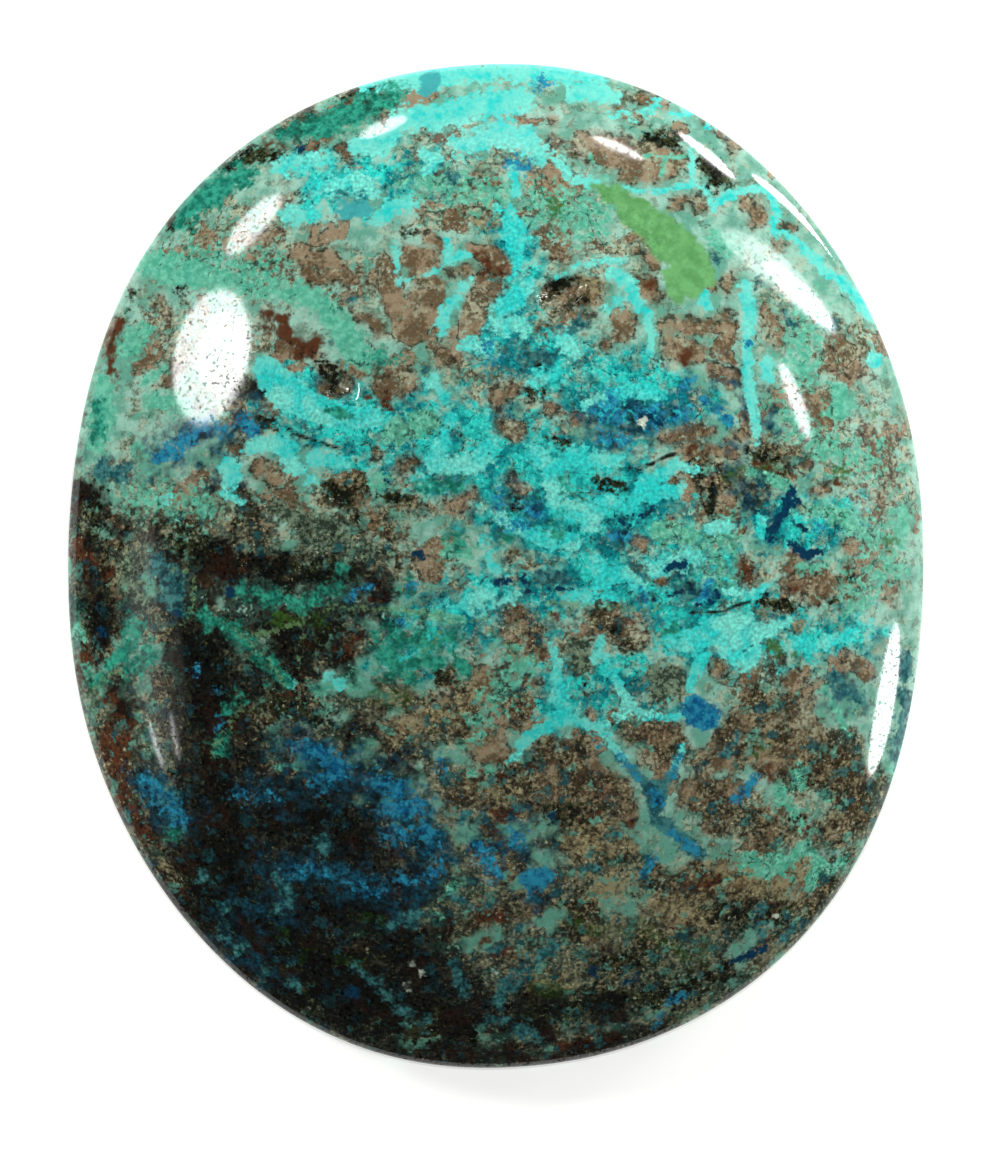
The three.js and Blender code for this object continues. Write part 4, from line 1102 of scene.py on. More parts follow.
def dome_height(shape, share):
    """Height of the dome at a share of the way out to its edge."""
    rise = np.maximum(1.0 - np.minimum(share, 1.0) ** DOME_FULLNESS, 0.0) ** DOME_ARCH
    return shape.girdle + (shape.thickness - shape.girdle) * rise


def dome_share(shape):
    """How much narrower the dome's edge is than the oval."""
    return 1.0 - shape.lean / (shape.width / 2.0)


def even_shares(shape, reach):
    """Shares of the way out that divide the dome's curve evenly."""
    share = np.sin(np.linspace(0.0, math.pi / 2.0, PROFILE_SAMPLES))
    out = share * shape.width / 2.0
    height = dome_height(shape, share)
    curve = np.concatenate(([0.0], np.cumsum(np.hypot(np.diff(out), np.diff(height)))))
    return np.interp(reach, curve / curve[-1], share)


def square_to_disc(steps):
    """Reach and angle of each vertex of a square grid that is drawn out to a disc."""
    line = np.linspace(-1.0, 1.0, steps + 1)
    across, along = np.meshgrid(line, line)
    across = across.ravel()
    along = along.ravel()
    reach = np.maximum(np.abs(across), np.abs(along))
    sideways = np.abs(across) >= np.abs(along)
    longer = np.where(sideways, across, along)
    shorter = np.where(sideways, along, -across)
    safe = np.where(longer == 0.0, 1.0, longer)
    angle = math.pi / 4.0 * shorter / safe
    angle = angle + np.where(sideways, 0.0, math.pi / 2.0) + np.where(longer < 0.0, math.pi, 0.0)
    return reach, angle


def grid_quads(steps, first):
    """Faces of a square grid, counted from its first vertex."""
    row, column = np.meshgrid(np.arange(steps), np.arange(steps), indexing="ij")
    corner = (first + row * (steps + 1) + column).ravel()
    return np.stack((corner, corner + 1, corner + steps + 2, corner + steps + 1), axis=1)


def grid_rim(steps, first):
    """Vertices round the edge of a square grid, counterclockwise."""
    count = np.arange(steps)
    row = steps + 1
    bottom = count
    right = steps + count * row
    top = steps * row + steps - count
    left = (steps - count) * row
    return first + np.concatenate((bottom, right, top, left))


def pit_depth(x, y):
    """How deep the open pits are at places on the dome, in metres."""
    depth = np.zeros_like(x)
    for pit_x, pit_y, length, width, turn, deep in PITS:
        across = (x / MM - pit_x) * math.cos(turn) + (y / MM - pit_y) * math.sin(turn)
        along = (y / MM - pit_y) * math.cos(turn) - (x / MM - pit_x) * math.sin(turn)
        ragged = 1.0 + PIT_RAGGEDNESS * np.sin(PIT_LOBES * np.arctan2(along, across) + pit_x)
        inside = 1.0 - ((2.0 * across / length) ** 2 + (2.0 * along / width) ** 2) * ragged
        depth = depth + deep * MM * np.maximum(inside, 0.0) ** PIT_STEEPNESS
    return depth


def rim_profile(shape):
    """Width share and height of the rings below the dome's edge, down to the flat back."""
    half = shape.width / 2.0
    rings = []
    for ring in range(1, GIRDLE_RINGS + 1):
        share = ring / GIRDLE_RINGS
        out = half - shape.lean * (1.0 - share)
        rings.append((out / half, shape.girdle + (shape.bevel - shape.girdle) * share))
    for ring in range(1, BEVEL_RINGS + 1):
        angle = math.pi / 2.0 * (1.0 - ring / BEVEL_RINGS)
        out = half - shape.bevel * (1.0 - math.sin(angle))
        rings.append((out / half, shape.bevel * (1.0 - math.cos(angle))))
    return rings


def around(radius, angle, height):
    """Points at a distance from the middle, in a direction and at a height."""
    height = np.broadcast_to(height, radius.shape)
    return np.stack((radius * np.cos(angle), radius * np.sin(angle), height), axis=1)


def stone_mesh(shape):
    """The stone's mesh: an evenly divided dome, rings for the girdle and bevel, and the flat back."""
    reach, angle = square_to_disc(DOME_STEPS)
    share = even_shares(shape, reach)
    dome = around(share * dome_share(shape) * oval_reach(shape, angle), angle, dome_height(shape, share))
    dome[:, 2] -= pit_depth(dome[:, 0], dome[:, 1])
    points = [dome]
    count = len(dome)

    rim = grid_rim(DOME_STEPS, 0)
    rim_angle = angle[rim]
    rim_reach = oval_reach(shape, rim_angle)
    loops = [rim]
    for width_share, height in rim_profile(shape):
        points.append(around(width_share * rim_reach, rim_angle, height))
        loops.append(count + np.arange(len(rim)))
        count += len(rim)

    flat_reach, flat_angle = square_to_disc(BACK_STEPS)
    flat_share = 1.0 - shape.bevel / (shape.width / 2.0)
    flat_radius = flat_reach * FLAT_SHARE * flat_share * oval_reach(shape, flat_angle)
    points.append(around(flat_radius, flat_angle, 0.0))

    bands = []
    for upper, lower in zip(loops[:-1], loops[1:]):
        bands.append(np.stack((upper, lower, np.roll(lower, -1), np.roll(upper, -1)), axis=1))
    faces = (
        grid_quads(DOME_STEPS, 0),
        np.concatenate(bands),
        seam_triangles(loops[-1], grid_rim(BACK_STEPS, count)),
        grid_quads(BACK_STEPS, count)[:, ::-1],
    )
    places = np.concatenate(points)
    mesh = bpy.data.meshes.new("cabochon")
    mesh.from_pydata(places.tolist(), [], [face for group in faces for face in group.tolist()])
    mesh.shade_smooth()
    unwrap(mesh, shape, reach, angle, places, faces)
    return mesh


def seam_triangles(fine, coarse):
    """Triangles between the bevel's last ring and the back's coarser edge."""
    ratio = len(fine) // len(coarse)
    triangles = []
    for index, here in enumerate(coarse):
        there = coarse[(index + 1) % len(coarse)]
        outer = [fine[(index * ratio + step) % len(fine)] for step in range(ratio + 1)]
        middle = ratio // 2
        for step in range(ratio):
            owner = here if step < middle else there
            triangles.append((outer[step + 1], outer[step], owner))
        triangles.append((outer[middle], here, there))
    return np.array(triangles)


def unwrap(mesh, shape, reach, angle, places, faces):
    """Lays out the surface map: the dome large, the girdle in two strips and the back small."""
    dome_faces, band_faces, seam_faces, back_faces = faces
    dome_map = np.stack((reach * np.cos(angle), reach * np.sin(angle)), axis=1)
    dome_size = np.array((shape.width / shape.length, 1.0))
    dome_uv = DOME_MAP_SIZE * dome_map[dome_faces.ravel()] * dome_size + DOME_MAP_MIDDLE

    steps = 4 * DOME_STEPS
    rings = len(band_faces) // steps
    column = np.tile(np.arange(steps), rings)
    ring = np.repeat(np.arange(rings), steps)
    half = steps // 2
    along = column % half
    left = STRIP_START + STRIP_LENGTH * along / half
    right = STRIP_START + STRIP_LENGTH * (along + 1) / half
    base = STRIP_START + STRIP_SPACING * (column // half)
    upper = base + STRIP_WIDTH * (1.0 - ring / rings)
    lower = base + STRIP_WIDTH * (1.0 - (ring + 1) / rings)
    corners = ((left, upper), (left, lower), (right, lower), (right, upper))
    band_uv = np.stack([np.stack(corner, axis=1) for corner in corners], axis=1).reshape(-1, 2)

    under = np.concatenate((seam_faces.ravel(), back_faces.ravel()))
    back_uv = BACK_MAP_SIZE * places[under, :2] / (shape.length / 2.0) + BACK_MAP_MIDDLE
    layer = mesh.uv_layers.new(name="OFBake")
    layer.data.foreach_set("uv", np.concatenate((dome_uv, band_uv, back_uv)).ravel())


def mark_reach(mark, x, y):
    """How far inside a mark each place is, in millimetres. Outside it is below zero."""
    inside = np.full(x.shape, FAR_OUTSIDE)
    ends = mark[1:] if len(mark) > 1 else mark
    for (x0, y0, w0), (x1, y1, w1) in zip(mark, ends):
        dx = x1 - x0
        dy = y1 - y0
        square = max(dx * dx + dy * dy, LEAST_SQUARE)
        along = np.clip(((x - x0) * dx + (y - y0) * dy) / square, 0.0, 1.0)
        gap = np.hypot(x - x0 - along * dx, y - y0 - along * dy)
        inside = np.maximum(inside, w0 + (w1 - w0) * along - gap)
    return inside


def mineral_field(groups, x, y):
    """How far inside a mineral's marks each place is, against how far their edges wander."""
    field = np.full(x.shape, -FIELD_LIMIT)
    for wander, marks in groups:
        for mark in marks:
            margin = max(point[2] for point in mark) + FIELD_LIMIT * wander
            west = min(point[0] for point in mark) - margin
            east = max(point[0] for point in mark) + margin
            south = min(point[1] for point in mark) - margin
            north = max(point[1] for point in mark) + margin
            near = np.nonzero((x > west) & (x < east) & (y > south) & (y < north))[0]
            reached = mark_reach(mark, x[near], y[near]) / wander
            field[near] = np.maximum(field[near], np.minimum(reached, FIELD_LIMIT))
    return field


def lay_minerals(mesh, shape):
    """Stores each mineral's field on the mesh. Veins lean sideways below the dome."""
    places = np.empty(3 * len(mesh.vertices))
    mesh.vertices.foreach_get("co", places)
    places = places.reshape(-1, 3)
    angle = np.arctan2(places[:, 1], places[:, 0])
    share = np.hypot(places[:, 0], places[:, 1]) / (dome_share(shape) * oval_reach(shape, angle))
    top = dome_height(shape, share) - pit_depth(places[:, 0], places[:, 1])
    depth = np.maximum(top - places[:, 2], 0.0)
    x = (places[:, 0] + VEIN_LEAN[0] * depth) / MM
    y = (places[:, 1] + VEIN_LEAN[1] * depth) / MM
    for name, groups in MARKS.items():
        layer = mesh.attributes.new(name, "FLOAT", "POINT")
        layer.data.foreach_set("value", mineral_field(groups, x, y))


def lay_clasts(mesh):
    """Stores how far inside its clast each vertex is, in millimetres, and a random number for that clast."""
    random = np.random.default_rng(CLAST_SEED)
    low = np.array(STONE_BOX[0]) / MM - 2.0 * CLAST_SPACING
    high = np.array(STONE_BOX[1]) / MM + 2.0 * CLAST_SPACING
    lines = [np.arange(start, stop, CLAST_SPACING) for start, stop in zip(low, high)]
    middles = np.stack(np.meshgrid(*lines, indexing="ij"), axis=-1).reshape(-1, 3)
    middles = middles + random.uniform(-0.5, 0.5, middles.shape) * CLAST_SPACING
    numbers = random.uniform(0.0, 1.0, len(middles))
    tree = KDTree(len(middles))
    for index, middle in enumerate(middles):
        tree.insert(middle, index)
    tree.balance()
    inside = np.empty(len(mesh.vertices))
    number = np.empty(len(mesh.vertices))
    for vertex in mesh.vertices:
        place = vertex.co / MM
        place = place + CLAST_BEND * noise_vector(place)
        (first, first_index, near), (second, _, far) = tree.find_n(place, 2)
        inside[vertex.index] = (far * far - near * near) / (2.0 * (first - second).length)
        number[vertex.index] = numbers[first_index]
    mesh.attributes.new("clast", "FLOAT", "POINT").data.foreach_set("value", inside)
    mesh.attributes.new("clast_number", "FLOAT", "POINT").data.foreach_set("value", number)


def lay_clouds(mesh):
    """Stores broad noises on the mesh. Each has three parts, and those in use are stored."""
    for name, (parts, start, scale, layers) in CLOUDS.items():
        values = np.empty((len(mesh.vertices), len(CLOUD_PARTS)))
        for vertex in mesh.vertices:
            place = (vertex.co / MM + Vector(start)) * scale
            values[vertex.index] = turbulence_vector(place, layers, False, amplitude_scale=CLOUD_FINENESS)
        values = values * CLOUD_SPREAD / values.std(axis=0)
        for part in parts:
            layer = mesh.attributes.new(f"{name}_{part}", "FLOAT", "POINT")
            layer.data.foreach_set("value", values[:, CLOUD_PARTS.index(part)])


class Graph:
    """Adds nodes to a material and joins them."""

    def __init__(self, tree):
        self.tree = tree

    def node(self, kind, inputs, **settings):
        """A node with its settings made and its inputs joined or set."""
        node = self.tree.nodes.new(kind)
        for name, value in settings.items():
            setattr(node, name, value)
        for socket, value in inputs.items():
            if isinstance(value, bpy.types.NodeSocket):
                self.tree.links.new(value, node.inputs[socket])
            else:
                node.inputs[socket].default_value = value
        return node

    def math(self, operation, first, second=0.0, third=0.0):
        """The result of one operation on numbers."""
        return self.node("ShaderNodeMath", {0: first, 1: second, 2: third}, operation=operation).outputs[0]

    def sum_of(self, first, *terms):
        """A number with shares of others added: first + share * other + share * other, and so on."""
        for share, other in zip(terms[::2], terms[1::2]):
            first = self.math("MULTIPLY_ADD", other, share, first)
        return first

    def product(self, first, *others):
        """Numbers multiplied."""
        for other in others:
            first = self.math("MULTIPLY", first, other)
        return first

    def largest(self, first, *others):
        """The largest of some numbers."""
        for other in others:
            first = self.math("MAXIMUM", first, other)
        return first

    def rise(self, value, low, high):
        """A smooth step from 0 at the low value to 1 at the high one."""
        inputs = {"Value": value, "From Min": low, "From Max": high}
        return self.node("ShaderNodeMapRange", inputs, interpolation_type="SMOOTHSTEP").outputs[0]

    def near(self, value, level, width):
        """A line along a level of a noise."""
        distance = self.math("ABSOLUTE", self.math("SUBTRACT", value, level))
        return self.rise(distance, width, LINE_CORE * width)

    def scaled(self, vector, share):
        """A place or a colour with all its parts multiplied by a number."""
        return self.node("ShaderNodeVectorMath", {0: vector, "Scale": share}, operation="SCALE").outputs[0]

    def blend(self, share, under, over):
        """One colour over another by a share."""
        return self.node("ShaderNodeMix", {0: share, 6: under, 7: over}, data_type="RGBA").outputs[2]

    def tones(self, noise, dark, light):
        """A mineral's two tones mixed by noise."""
        return self.blend(self.rise(noise, -TONE_SPREAD, TONE_SPREAD), solid(dark), solid(light))

    def noise(self, place, start, scale, detail, roughness):
        """Three separate noises, each about 0 and mostly within 1 of it."""
        moved = self.node("ShaderNodeVectorMath", {0: place, 1: start}, operation="ADD").outputs[0]
        inputs = {"Vector": moved, "Scale": scale, "Detail": detail, "Roughness": roughness}
        cloud = self.node("ShaderNodeTexNoise", inputs, noise_dimensions="3D")
        split = self.node("ShaderNodeSeparateColor", {0: cloud.outputs["Color"]})
        return [self.sum_of(-NOISE_GAIN / 2.0, NOISE_GAIN, output) for output in split.outputs]

    def grains(self, place, scale):
        """Small grains that fill the stone: three random numbers for each, and how far its middle is."""
        cells = self.node("ShaderNodeTexVoronoi", {"Vector": place, "Scale": scale}, voronoi_dimensions="3D")
        split = self.node("ShaderNodeSeparateColor", {0: cells.outputs["Color"]})
        return [*split.outputs, cells.outputs["Distance"]]

    def field(self, name):
        """A number that is stored on the mesh."""
        return self.node("ShaderNodeAttribute", {}, attribute_name=name).outputs["Fac"]

    def mask(self, name, edge, soft):
        """Where a mineral lies, with its edge moved by noise."""
        return self.rise(self.math("ADD", self.field(name), edge), -soft, soft)


class Ore(Graph):
    """Lays the stone's minerals over each other, each with its own ragged edge and grain."""

    def __init__(self, tree, colours):
        super().__init__(tree)
        self.colours = colours

        # Noises for edges and tones
        place = self.scaled(self.node("ShaderNodeTexCoord", {}).outputs["Object"], 1.0 / MM)
        self.edge_a, self.edge_b, self.edge_c = self.noise(place, *EDGE_NOISE)
        self.edge_d, self.edge_e, self.edge_f = self.noise(place, *FINE_EDGE_NOISE)
        self.grain_a, self.grain_b, self.grain_c = self.noise(place, *GRAIN_NOISE)
        self.tone_a, self.tone_b, self.tone_c = [self.field(f"tone_{letter}") for letter in "abc"]

        # Small grains, bent by the finer noise, and the gaps between them
        bend = self.node("ShaderNodeCombineXYZ", {0: self.edge_d, 1: self.edge_e, 2: self.edge_f}).outputs[0]
        bent = {0: bend, 1: (GRAIN_BEND, GRAIN_BEND, GRAIN_BEND), 2: place}
        grain_place = self.node("ShaderNodeVectorMath", bent, operation="MULTIPLY_ADD").outputs[0]
        tone_share, self.pick, self.hue, reach = self.grains(grain_place, GRAIN_SCALE)
        self.grain_tone = self.sum_of(-1.0, 2.0, tone_share)
        self.gaps = self.rise(reach, 0.5, 0.85)

        # Where the minerals lie that others depend on
        self.earth_mask = self.mask("earth", self.tone_a, 0.5)
        self.stain_and_shade_mask = self.mask("stain_and_shade", self.tone_c, 0.7)
        self.vivid_mask = self.mask("cement", self.math("ADD", self.edge_b, 0.5), 0.6)
        grit_reach = self.sum_of(0.2, 1.2, self.tone_b, 0.5, self.edge_e)
        grit_mask = self.mask("grit", grit_reach, 0.7)
        self.grit_mask = self.product(grit_mask, self.sum_of(1.0, -0.5, self.vivid_mask))
        self.brown_reach = self.sum_of(self.field("brown"), 0.7, self.edge_b)
        self.turquoise_mask = self.mask("turquoise", self.edge_e, 0.5)
        self.malachite_mask = self.mask("malachite", self.edge_b, 0.8)
        self.smooth = self.largest(self.turquoise_mask, self.malachite_mask)
        self.broken = self.largest(self.product(self.grit_mask, 0.5), self.product(self.vivid_mask, 0.9))
        self.rough = self.largest(self.broken, self.earth_mask)

        # Clasts of rock: how far inside, a random number for each, and which of them are brown
        self.gap = self.sum_of(self.field("clast"), 0.2, self.edge_b)
        self.number = self.field("clast_number")
        chance = self.sum_of(self.number, -0.2, self.vivid_mask, 0.25, self.grit_mask, 0.3, self.earth_mask)
        self.chosen = self.rise(chance, 0.84, 0.9)

        # The ground that everything else is laid over
        self.speckle = self.sum_of(self.product(self.edge_d, 0.9), 1.1, self.grain_c, 0.9, self.grain_tone)
        self.grit = self.tones(self.speckle, colours.grit_dark, colours.grit_pale)
        self.wash = self.sum_of(self.tone_a, 0.5, self.edge_a, 0.45, self.grain_tone)
        self.colour = self.tones(self.wash, colours.cement_deep, colours.cement_pale)

    def lay(self, share, paint):
        """Lays a colour over what is there."""
        self.colour = self.blend(share, self.colour, paint)

    def lay_cement(self):
        """Vivid and gritty parts of the cement that joins the rock."""
        colours = self.colours
        specks = self.rise(self.sum_of(self.pick, 0.2, self.edge_e, 0.1, self.grain_b), 0.72, 0.86)
        self.lay(self.product(specks, 0.5), self.grit)
        vivid = self.tones(self.sum_of(self.wash, 0.5, self.edge_d), colours.vivid_deep, colours.vivid_pale)
        self.lay(self.product(self.vivid_mask, self.sum_of(1.0, -0.35, specks)), vivid)
        self.lay(self.product(self.grit_mask, self.rise(self.edge_f, -0.6, 0.3)), self.grit)

    def lay_rock(self):
        """Broken clasts, earth, grey rock with one painted sheen near the left rim, and brown rock."""
        colours = self.colours
        holes = self.rise(self.sum_of(self.edge_e, 0.7, self.grain_a), 0.5, 1.2)
        clasts = self.product(self.rise(self.gap, -0.02, 0.2), self.chosen, self.sum_of(1.0, -0.6, holes))
        spread = self.sum_of(-0.8, 1.6, self.math("FRACT", self.product(self.number, 17.0)))
        mottle = self.math("ADD", self.sum_of(self.tone_c, 0.5, self.grain_c), spread)
        brown = self.tones(self.sum_of(mottle, 0.5, self.speckle), colours.brown_dark, colours.brown_pale)
        earth = self.tones(self.sum_of(self.speckle, 0.5, mottle), colours.earth_dark, colours.earth_pale)
        rusty = self.rise(self.sum_of(self.tone_c, 0.6, self.edge_a), 0.2, 1.3)
        earth = self.blend(self.product(rusty, 0.55), earth, solid(colours.rust))
        self.lay(clasts, self.blend(self.product(self.earth_mask, 0.6), brown, earth))
        self.lay(self.product(self.earth_mask, 0.85), earth)
        grey = self.tones(self.speckle, colours.grey_dark, colours.grey_pale)
        # Grey rock, and a painted sheen near the left rim.
        self.lay(self.mask("grey", self.edge_e, 0.6), grey)
        stone_tone = self.sum_of(self.tone_c, 0.6, self.speckle)
        stone = self.tones(stone_tone, colours.brown_dark, colours.brown_pale)
        gritty = self.rise(self.sum_of(self.tone_b, 0.6, self.edge_d), 0.0, 1.1)
        stone = self.blend(self.product(gritty, 0.6), stone, self.grit)
        stone = self.blend(self.product(self.earth_mask, 0.7), stone, earth)
        brown_mask = self.rise(self.brown_reach, -0.8, 0.8)
        self.lay(self.product(brown_mask, self.sum_of(1.0, -0.4, holes)), stone)

    def lay_patches(self):
        """Tan, rust, soot that is partly painted shade, and seafoam."""
        colours = self.colours
        tan = self.tones(self.math("ADD", self.speckle, 0.7), colours.brown_dark, colours.tan)
        self.lay(self.mask("tan", self.edge_d, 0.6), tan)
        self.lay(self.mask("rust", self.edge_c, 0.6), solid(colours.rust))
        # Soot, partly painted shade.
        soot = self.tones(self.math("SUBTRACT", self.speckle, 0.3), colours.soot, colours.soot_and_shade_pale)
        self.lay(self.mask("soot", self.edge_f, 0.6), soot)
        seafoam = self.tones(self.edge_e, colours.seafoam_deep, colours.seafoam_pale)
        self.lay(self.mask("seafoam", self.edge_d, 0.5), seafoam)

    def lay_dark_lines(self):
        """Dark lines in the rough parts, dark rims round the rock, and dark and pale specks."""
        colours = self.colours
        worn = self.rise(self.sum_of(self.edge_c, 0.8, self.rough), 0.3, 1.0)
        line = self.near(self.field("line_a"), 0.0, 0.24)
        line = self.product(line, worn, self.rise(self.grain_c, -0.7, 0.3))
        clast_rim = self.near(self.gap, 0.08, 0.08)
        clast_rim = self.product(clast_rim, self.chosen, self.rise(self.edge_d, -0.4, 0.4))
        brown_rim = self.product(self.near(self.brown_reach, 0.2, 0.5), self.rise(self.edge_f, -0.2, 0.5))
        pepper = self.product(self.rise(self.grain_b, 0.65, 1.0), self.sum_of(0.08, 0.9, self.rough))
        dark = self.largest(line, clast_rim, brown_rim, pepper)
        self.lay(self.product(dark, 0.8), solid(colours.crack))
        clear = self.sum_of(1.0, -1.0, self.stain_and_shade_mask)
        salt = self.product(self.rough, clear, 0.5, self.rise(self.grain_a, 0.7, 1.2))
        self.lay(salt, solid(colours.grit_pale))

    def lay_stain_and_shade(self):
        """The dark stain, partly painted shade of the lower left, and the scraps of other minerals in the
        earth.
        """
        colours = self.colours
        # Painted shade, partly dark rock: the colour is darkened in flecks where the stain lies.
        flecks = self.rise(self.sum_of(self.edge_f, 0.6, self.grain_a), 1.1, 0.4)
        stain_and_shade = self.sum_of(1.0, -0.84, self.product(self.stain_and_shade_mask, flecks))
        self.colour = self.scaled(self.colour, stain_and_shade)
        umber = self.product(self.stain_and_shade_mask, 0.7, self.rise(self.tone_b, 0.1, 1.0))
        self.lay(umber, solid(colours.umber))
        scraps = self.rise(self.sum_of(self.hue, 0.22, self.edge_c, 0.12, self.grain_a), 0.78, 0.92)
        scraps = self.product(self.earth_mask, self.sum_of(0.85, -0.15, self.stain_and_shade_mask), scraps)
        crumbs = self.tones(self.grain_tone, colours.steel_deep, colours.scrap)
        # Darker crumbs where the stain and its painted shade lie.
        dark_crumbs = self.tones(self.grain_tone, colours.blue_deep, colours.steel_deep)
        self.lay(scraps, self.blend(self.stain_and_shade_mask, crumbs, dark_crumbs))

    def lay_turquoise(self):
        """Blue clouds, steel blue, turquoise, teal and sky blue."""
        colours = self.colours
        blue = self.tones(self.edge_c, colours.blue_deep, colours.blue_pale)
        self.lay(self.mask("blue", self.edge_a, 0.9), blue)
        steel_tone = self.sum_of(self.edge_e, 0.6, self.grain_tone)
        steel = self.tones(steel_tone, colours.steel_deep, colours.steel_pale)
        self.lay(self.mask("steel", self.sum_of(self.edge_b, 0.4, self.grain_b), 0.6), steel)
        turquoise_tone = self.sum_of(self.tone_b, 0.7, self.edge_a)
        turquoise = self.tones(turquoise_tone, colours.turquoise_deep, colours.turquoise_pale)
        chalk = self.rise(self.sum_of(self.edge_d, 0.8, self.grain_tone), -1.0, 0.7)
        chalk = self.product(chalk, self.sum_of(0.7, -0.6, self.vivid_mask))
        self.lay(self.turquoise_mask, self.blend(chalk, turquoise, solid(colours.turquoise_pale)))
        teal_tone = self.sum_of(self.edge_d, 0.6, self.grain_tone)
        teal = self.tones(teal_tone, colours.teal_deep, colours.teal_pale)
        self.lay(self.mask("teal", self.sum_of(self.edge_c, 0.5, self.grain_b), 0.7), teal)
        self.lay(self.mask("sky", self.edge_c, 0.5), solid(colours.sky))

    def lay_azurite(self):
        """Azurite with vivid threads in it, thinner in the stain and its painted shade, and navy blue."""
        colours = self.colours
        azurite_tone = self.sum_of(self.edge_d, 0.4, self.grain_c, 0.5, self.grain_tone)
        azurite = self.tones(azurite_tone, colours.azurite_deep, colours.azurite_pale)
        threads = self.product(self.vivid_mask, 0.6, self.near(self.field("line_c"), 0.0, 0.25))
        azurite = self.blend(threads, azurite, solid(colours.vivid_pale))
        azurite_mask = self.mask("azurite", self.sum_of(self.edge_d, 0.5, self.grain_b), 0.6)
        thinned = self.product(self.stain_and_shade_mask, self.rise(self.pick, 0.5, 0.6))
        self.lay(self.product(azurite_mask, self.sum_of(1.0, -0.65, thinned)), azurite)
        self.lay(self.mask("navy", self.edge_e, 0.5), solid(colours.navy))

    def lay_malachite(self):
        """Moss green, fainter in the earth, and malachite."""
        colours = self.colours
        moss_mask = self.mask("moss", self.sum_of(self.edge_f, 0.5, self.grain_b), 0.8)
        self.lay(self.product(moss_mask, self.sum_of(0.85, -0.5, self.earth_mask)), solid(colours.moss))
        malachite = self.tones(self.edge_c, colours.malachite_deep, colours.malachite_pale)
        self.lay(self.malachite_mask, malachite)

    def lay_threads(self):
        """Cracks, lime threads, pale crystals and a painted glint in the first pit."""
        colours = self.colours
        self.lay(self.mask("cracks", self.product(self.edge_a, 0.4), 0.4), solid(colours.crack))
        lime_mask = self.mask("lime", self.sum_of(self.edge_e, 0.8, self.grain_b), 0.5)
        self.lay(self.product(lime_mask, 0.55), solid(colours.lime))
        self.lay(self.mask("pale", self.edge_d, 0.5), solid(colours.pale))

    def shade_grains(self):
        """Dark gaps between the grains, light and dark grains, and dark flecks in the stain that are partly
        painted shade.
        """
        gloom = self.product(self.gaps, self.sum_of(0.12, 0.3, self.rough, 0.15, self.earth_mask))
        self.lay(self.product(gloom, self.sum_of(1.0, -1.0, self.smooth)), solid(self.colours.crack))
        contrast = self.product(self.grain_a, self.sum_of(0.06, 0.4, self.earth_mask, 0.25, self.broken))
        # Dark flecks where the stain lies, partly painted shade.
        dust_and_shade = self.rise(self.sum_of(self.edge_e, 0.8, self.grain_c), 0.3, -0.9)
        dust_and_shade = self.product(self.stain_and_shade_mask, 0.6, dust_and_shade)
        shade = self.product(self.sum_of(1.0, 1.0, contrast), self.sum_of(1.0, -1.0, dust_and_shade))
        self.colour = self.scaled(self.colour, shade)

    def polish(self):
        """The polished surface, smoother on turquoise and malachite and duller at the pores."""
        pores = self.rise(self.grain_b, 0.3, 0.8)
        inputs = {
            "Base Color": self.colour,
            "Roughness": self.sum_of(ORE_ROUGHNESS, -ORE_SMOOTHING, self.smooth),
            "IOR": ORE_IOR,
            "Specular IOR Level": self.sum_of(ORE_GLOSS, -PORE_DULLING, pores),
        }
        surface = self.node("ShaderNodeBsdfPrincipled", inputs)
        self.node("ShaderNodeOutputMaterial", {"Surface": surface.outputs[0]})


def solid(colour):
    """A colour setting with its alpha."""
    return (colour[0], colour[1], colour[2], 1.0)


def polished_ore(colours):
    """Material of the stone: its minerals from the ground up, and the polish over them."""
    material = bpy.data.materials.new("polished_ore")
    material.use_nodes = True
    material.node_tree.nodes.clear()
    ore = Ore(material.node_tree, colours)
    ore.lay_cement()
    ore.lay_rock()
    ore.lay_patches()
    ore.lay_dark_lines()
    ore.lay_stain_and_shade()
    ore.lay_turquoise()
    ore.lay_azurite()
    ore.lay_malachite()
    ore.lay_threads()
    ore.shade_grains()
    ore.polish()
    return material


def floor_material(settings):
    """The floor's single pale colour, with a little light of its own that softens the shadow."""
    material = bpy.data.materials.new("floor")
    material.use_nodes = True
    surface = material.node_tree.nodes["Principled BSDF"]
    surface.inputs["Base Color"].default_value = solid(settings.floor)
    surface.inputs["Roughness"].default_value = FLOOR_ROUGHNESS
    surface.inputs["Emission Color"].default_value = solid(settings.floor)
    surface.inputs["Emission Strength"].default_value = settings.floor_glow
    return material


def dome_normal(shape, x, y):
    """Which way the dome faces at a place."""
    def height(place_x, place_y):
        angle = math.atan2(place_y, place_x)
        reach = float(oval_reach(shape, angle)) * dome_share(shape)
        return float(dome_height(shape, math.hypot(place_x, place_y) / reach))
    step = SLOPE_STEP * MM
    slope_x = (height(x + step, y) - height(x - step, y)) / (2.0 * step)
    slope_y = (height(x, y + step) - height(x, y - step)) / (2.0 * step)
    return Vector((-slope_x, -slope_y, 1.0)).normalized()


def mirrored(shape, x, y):
    """The direction that a view from straight above is reflected in at a place on the dome."""
    normal = dome_normal(shape, x, y)
    return (2.0 * normal.z * normal - Vector((0.0, 0.0, 1.0))).normalized()


def between(shape, start, end):
    """The place halfway between two places on the dome, as far out towards the rim as they are."""
    start_angle = math.atan2(start[1], start[0])
    end_angle = math.atan2(end[1], end[0])
    start_share = math.hypot(*start) / float(oval_reach(shape, start_angle))
    end_share = math.hypot(*end) / float(oval_reach(shape, end_angle))
    angle = start_angle + math.remainder(end_angle - start_angle, 2.0 * math.pi) / 2.0
    reach = (start_share + end_share) / 2.0 * float(oval_reach(shape, angle))
    return reach * math.cos(angle), reach * math.sin(angle)


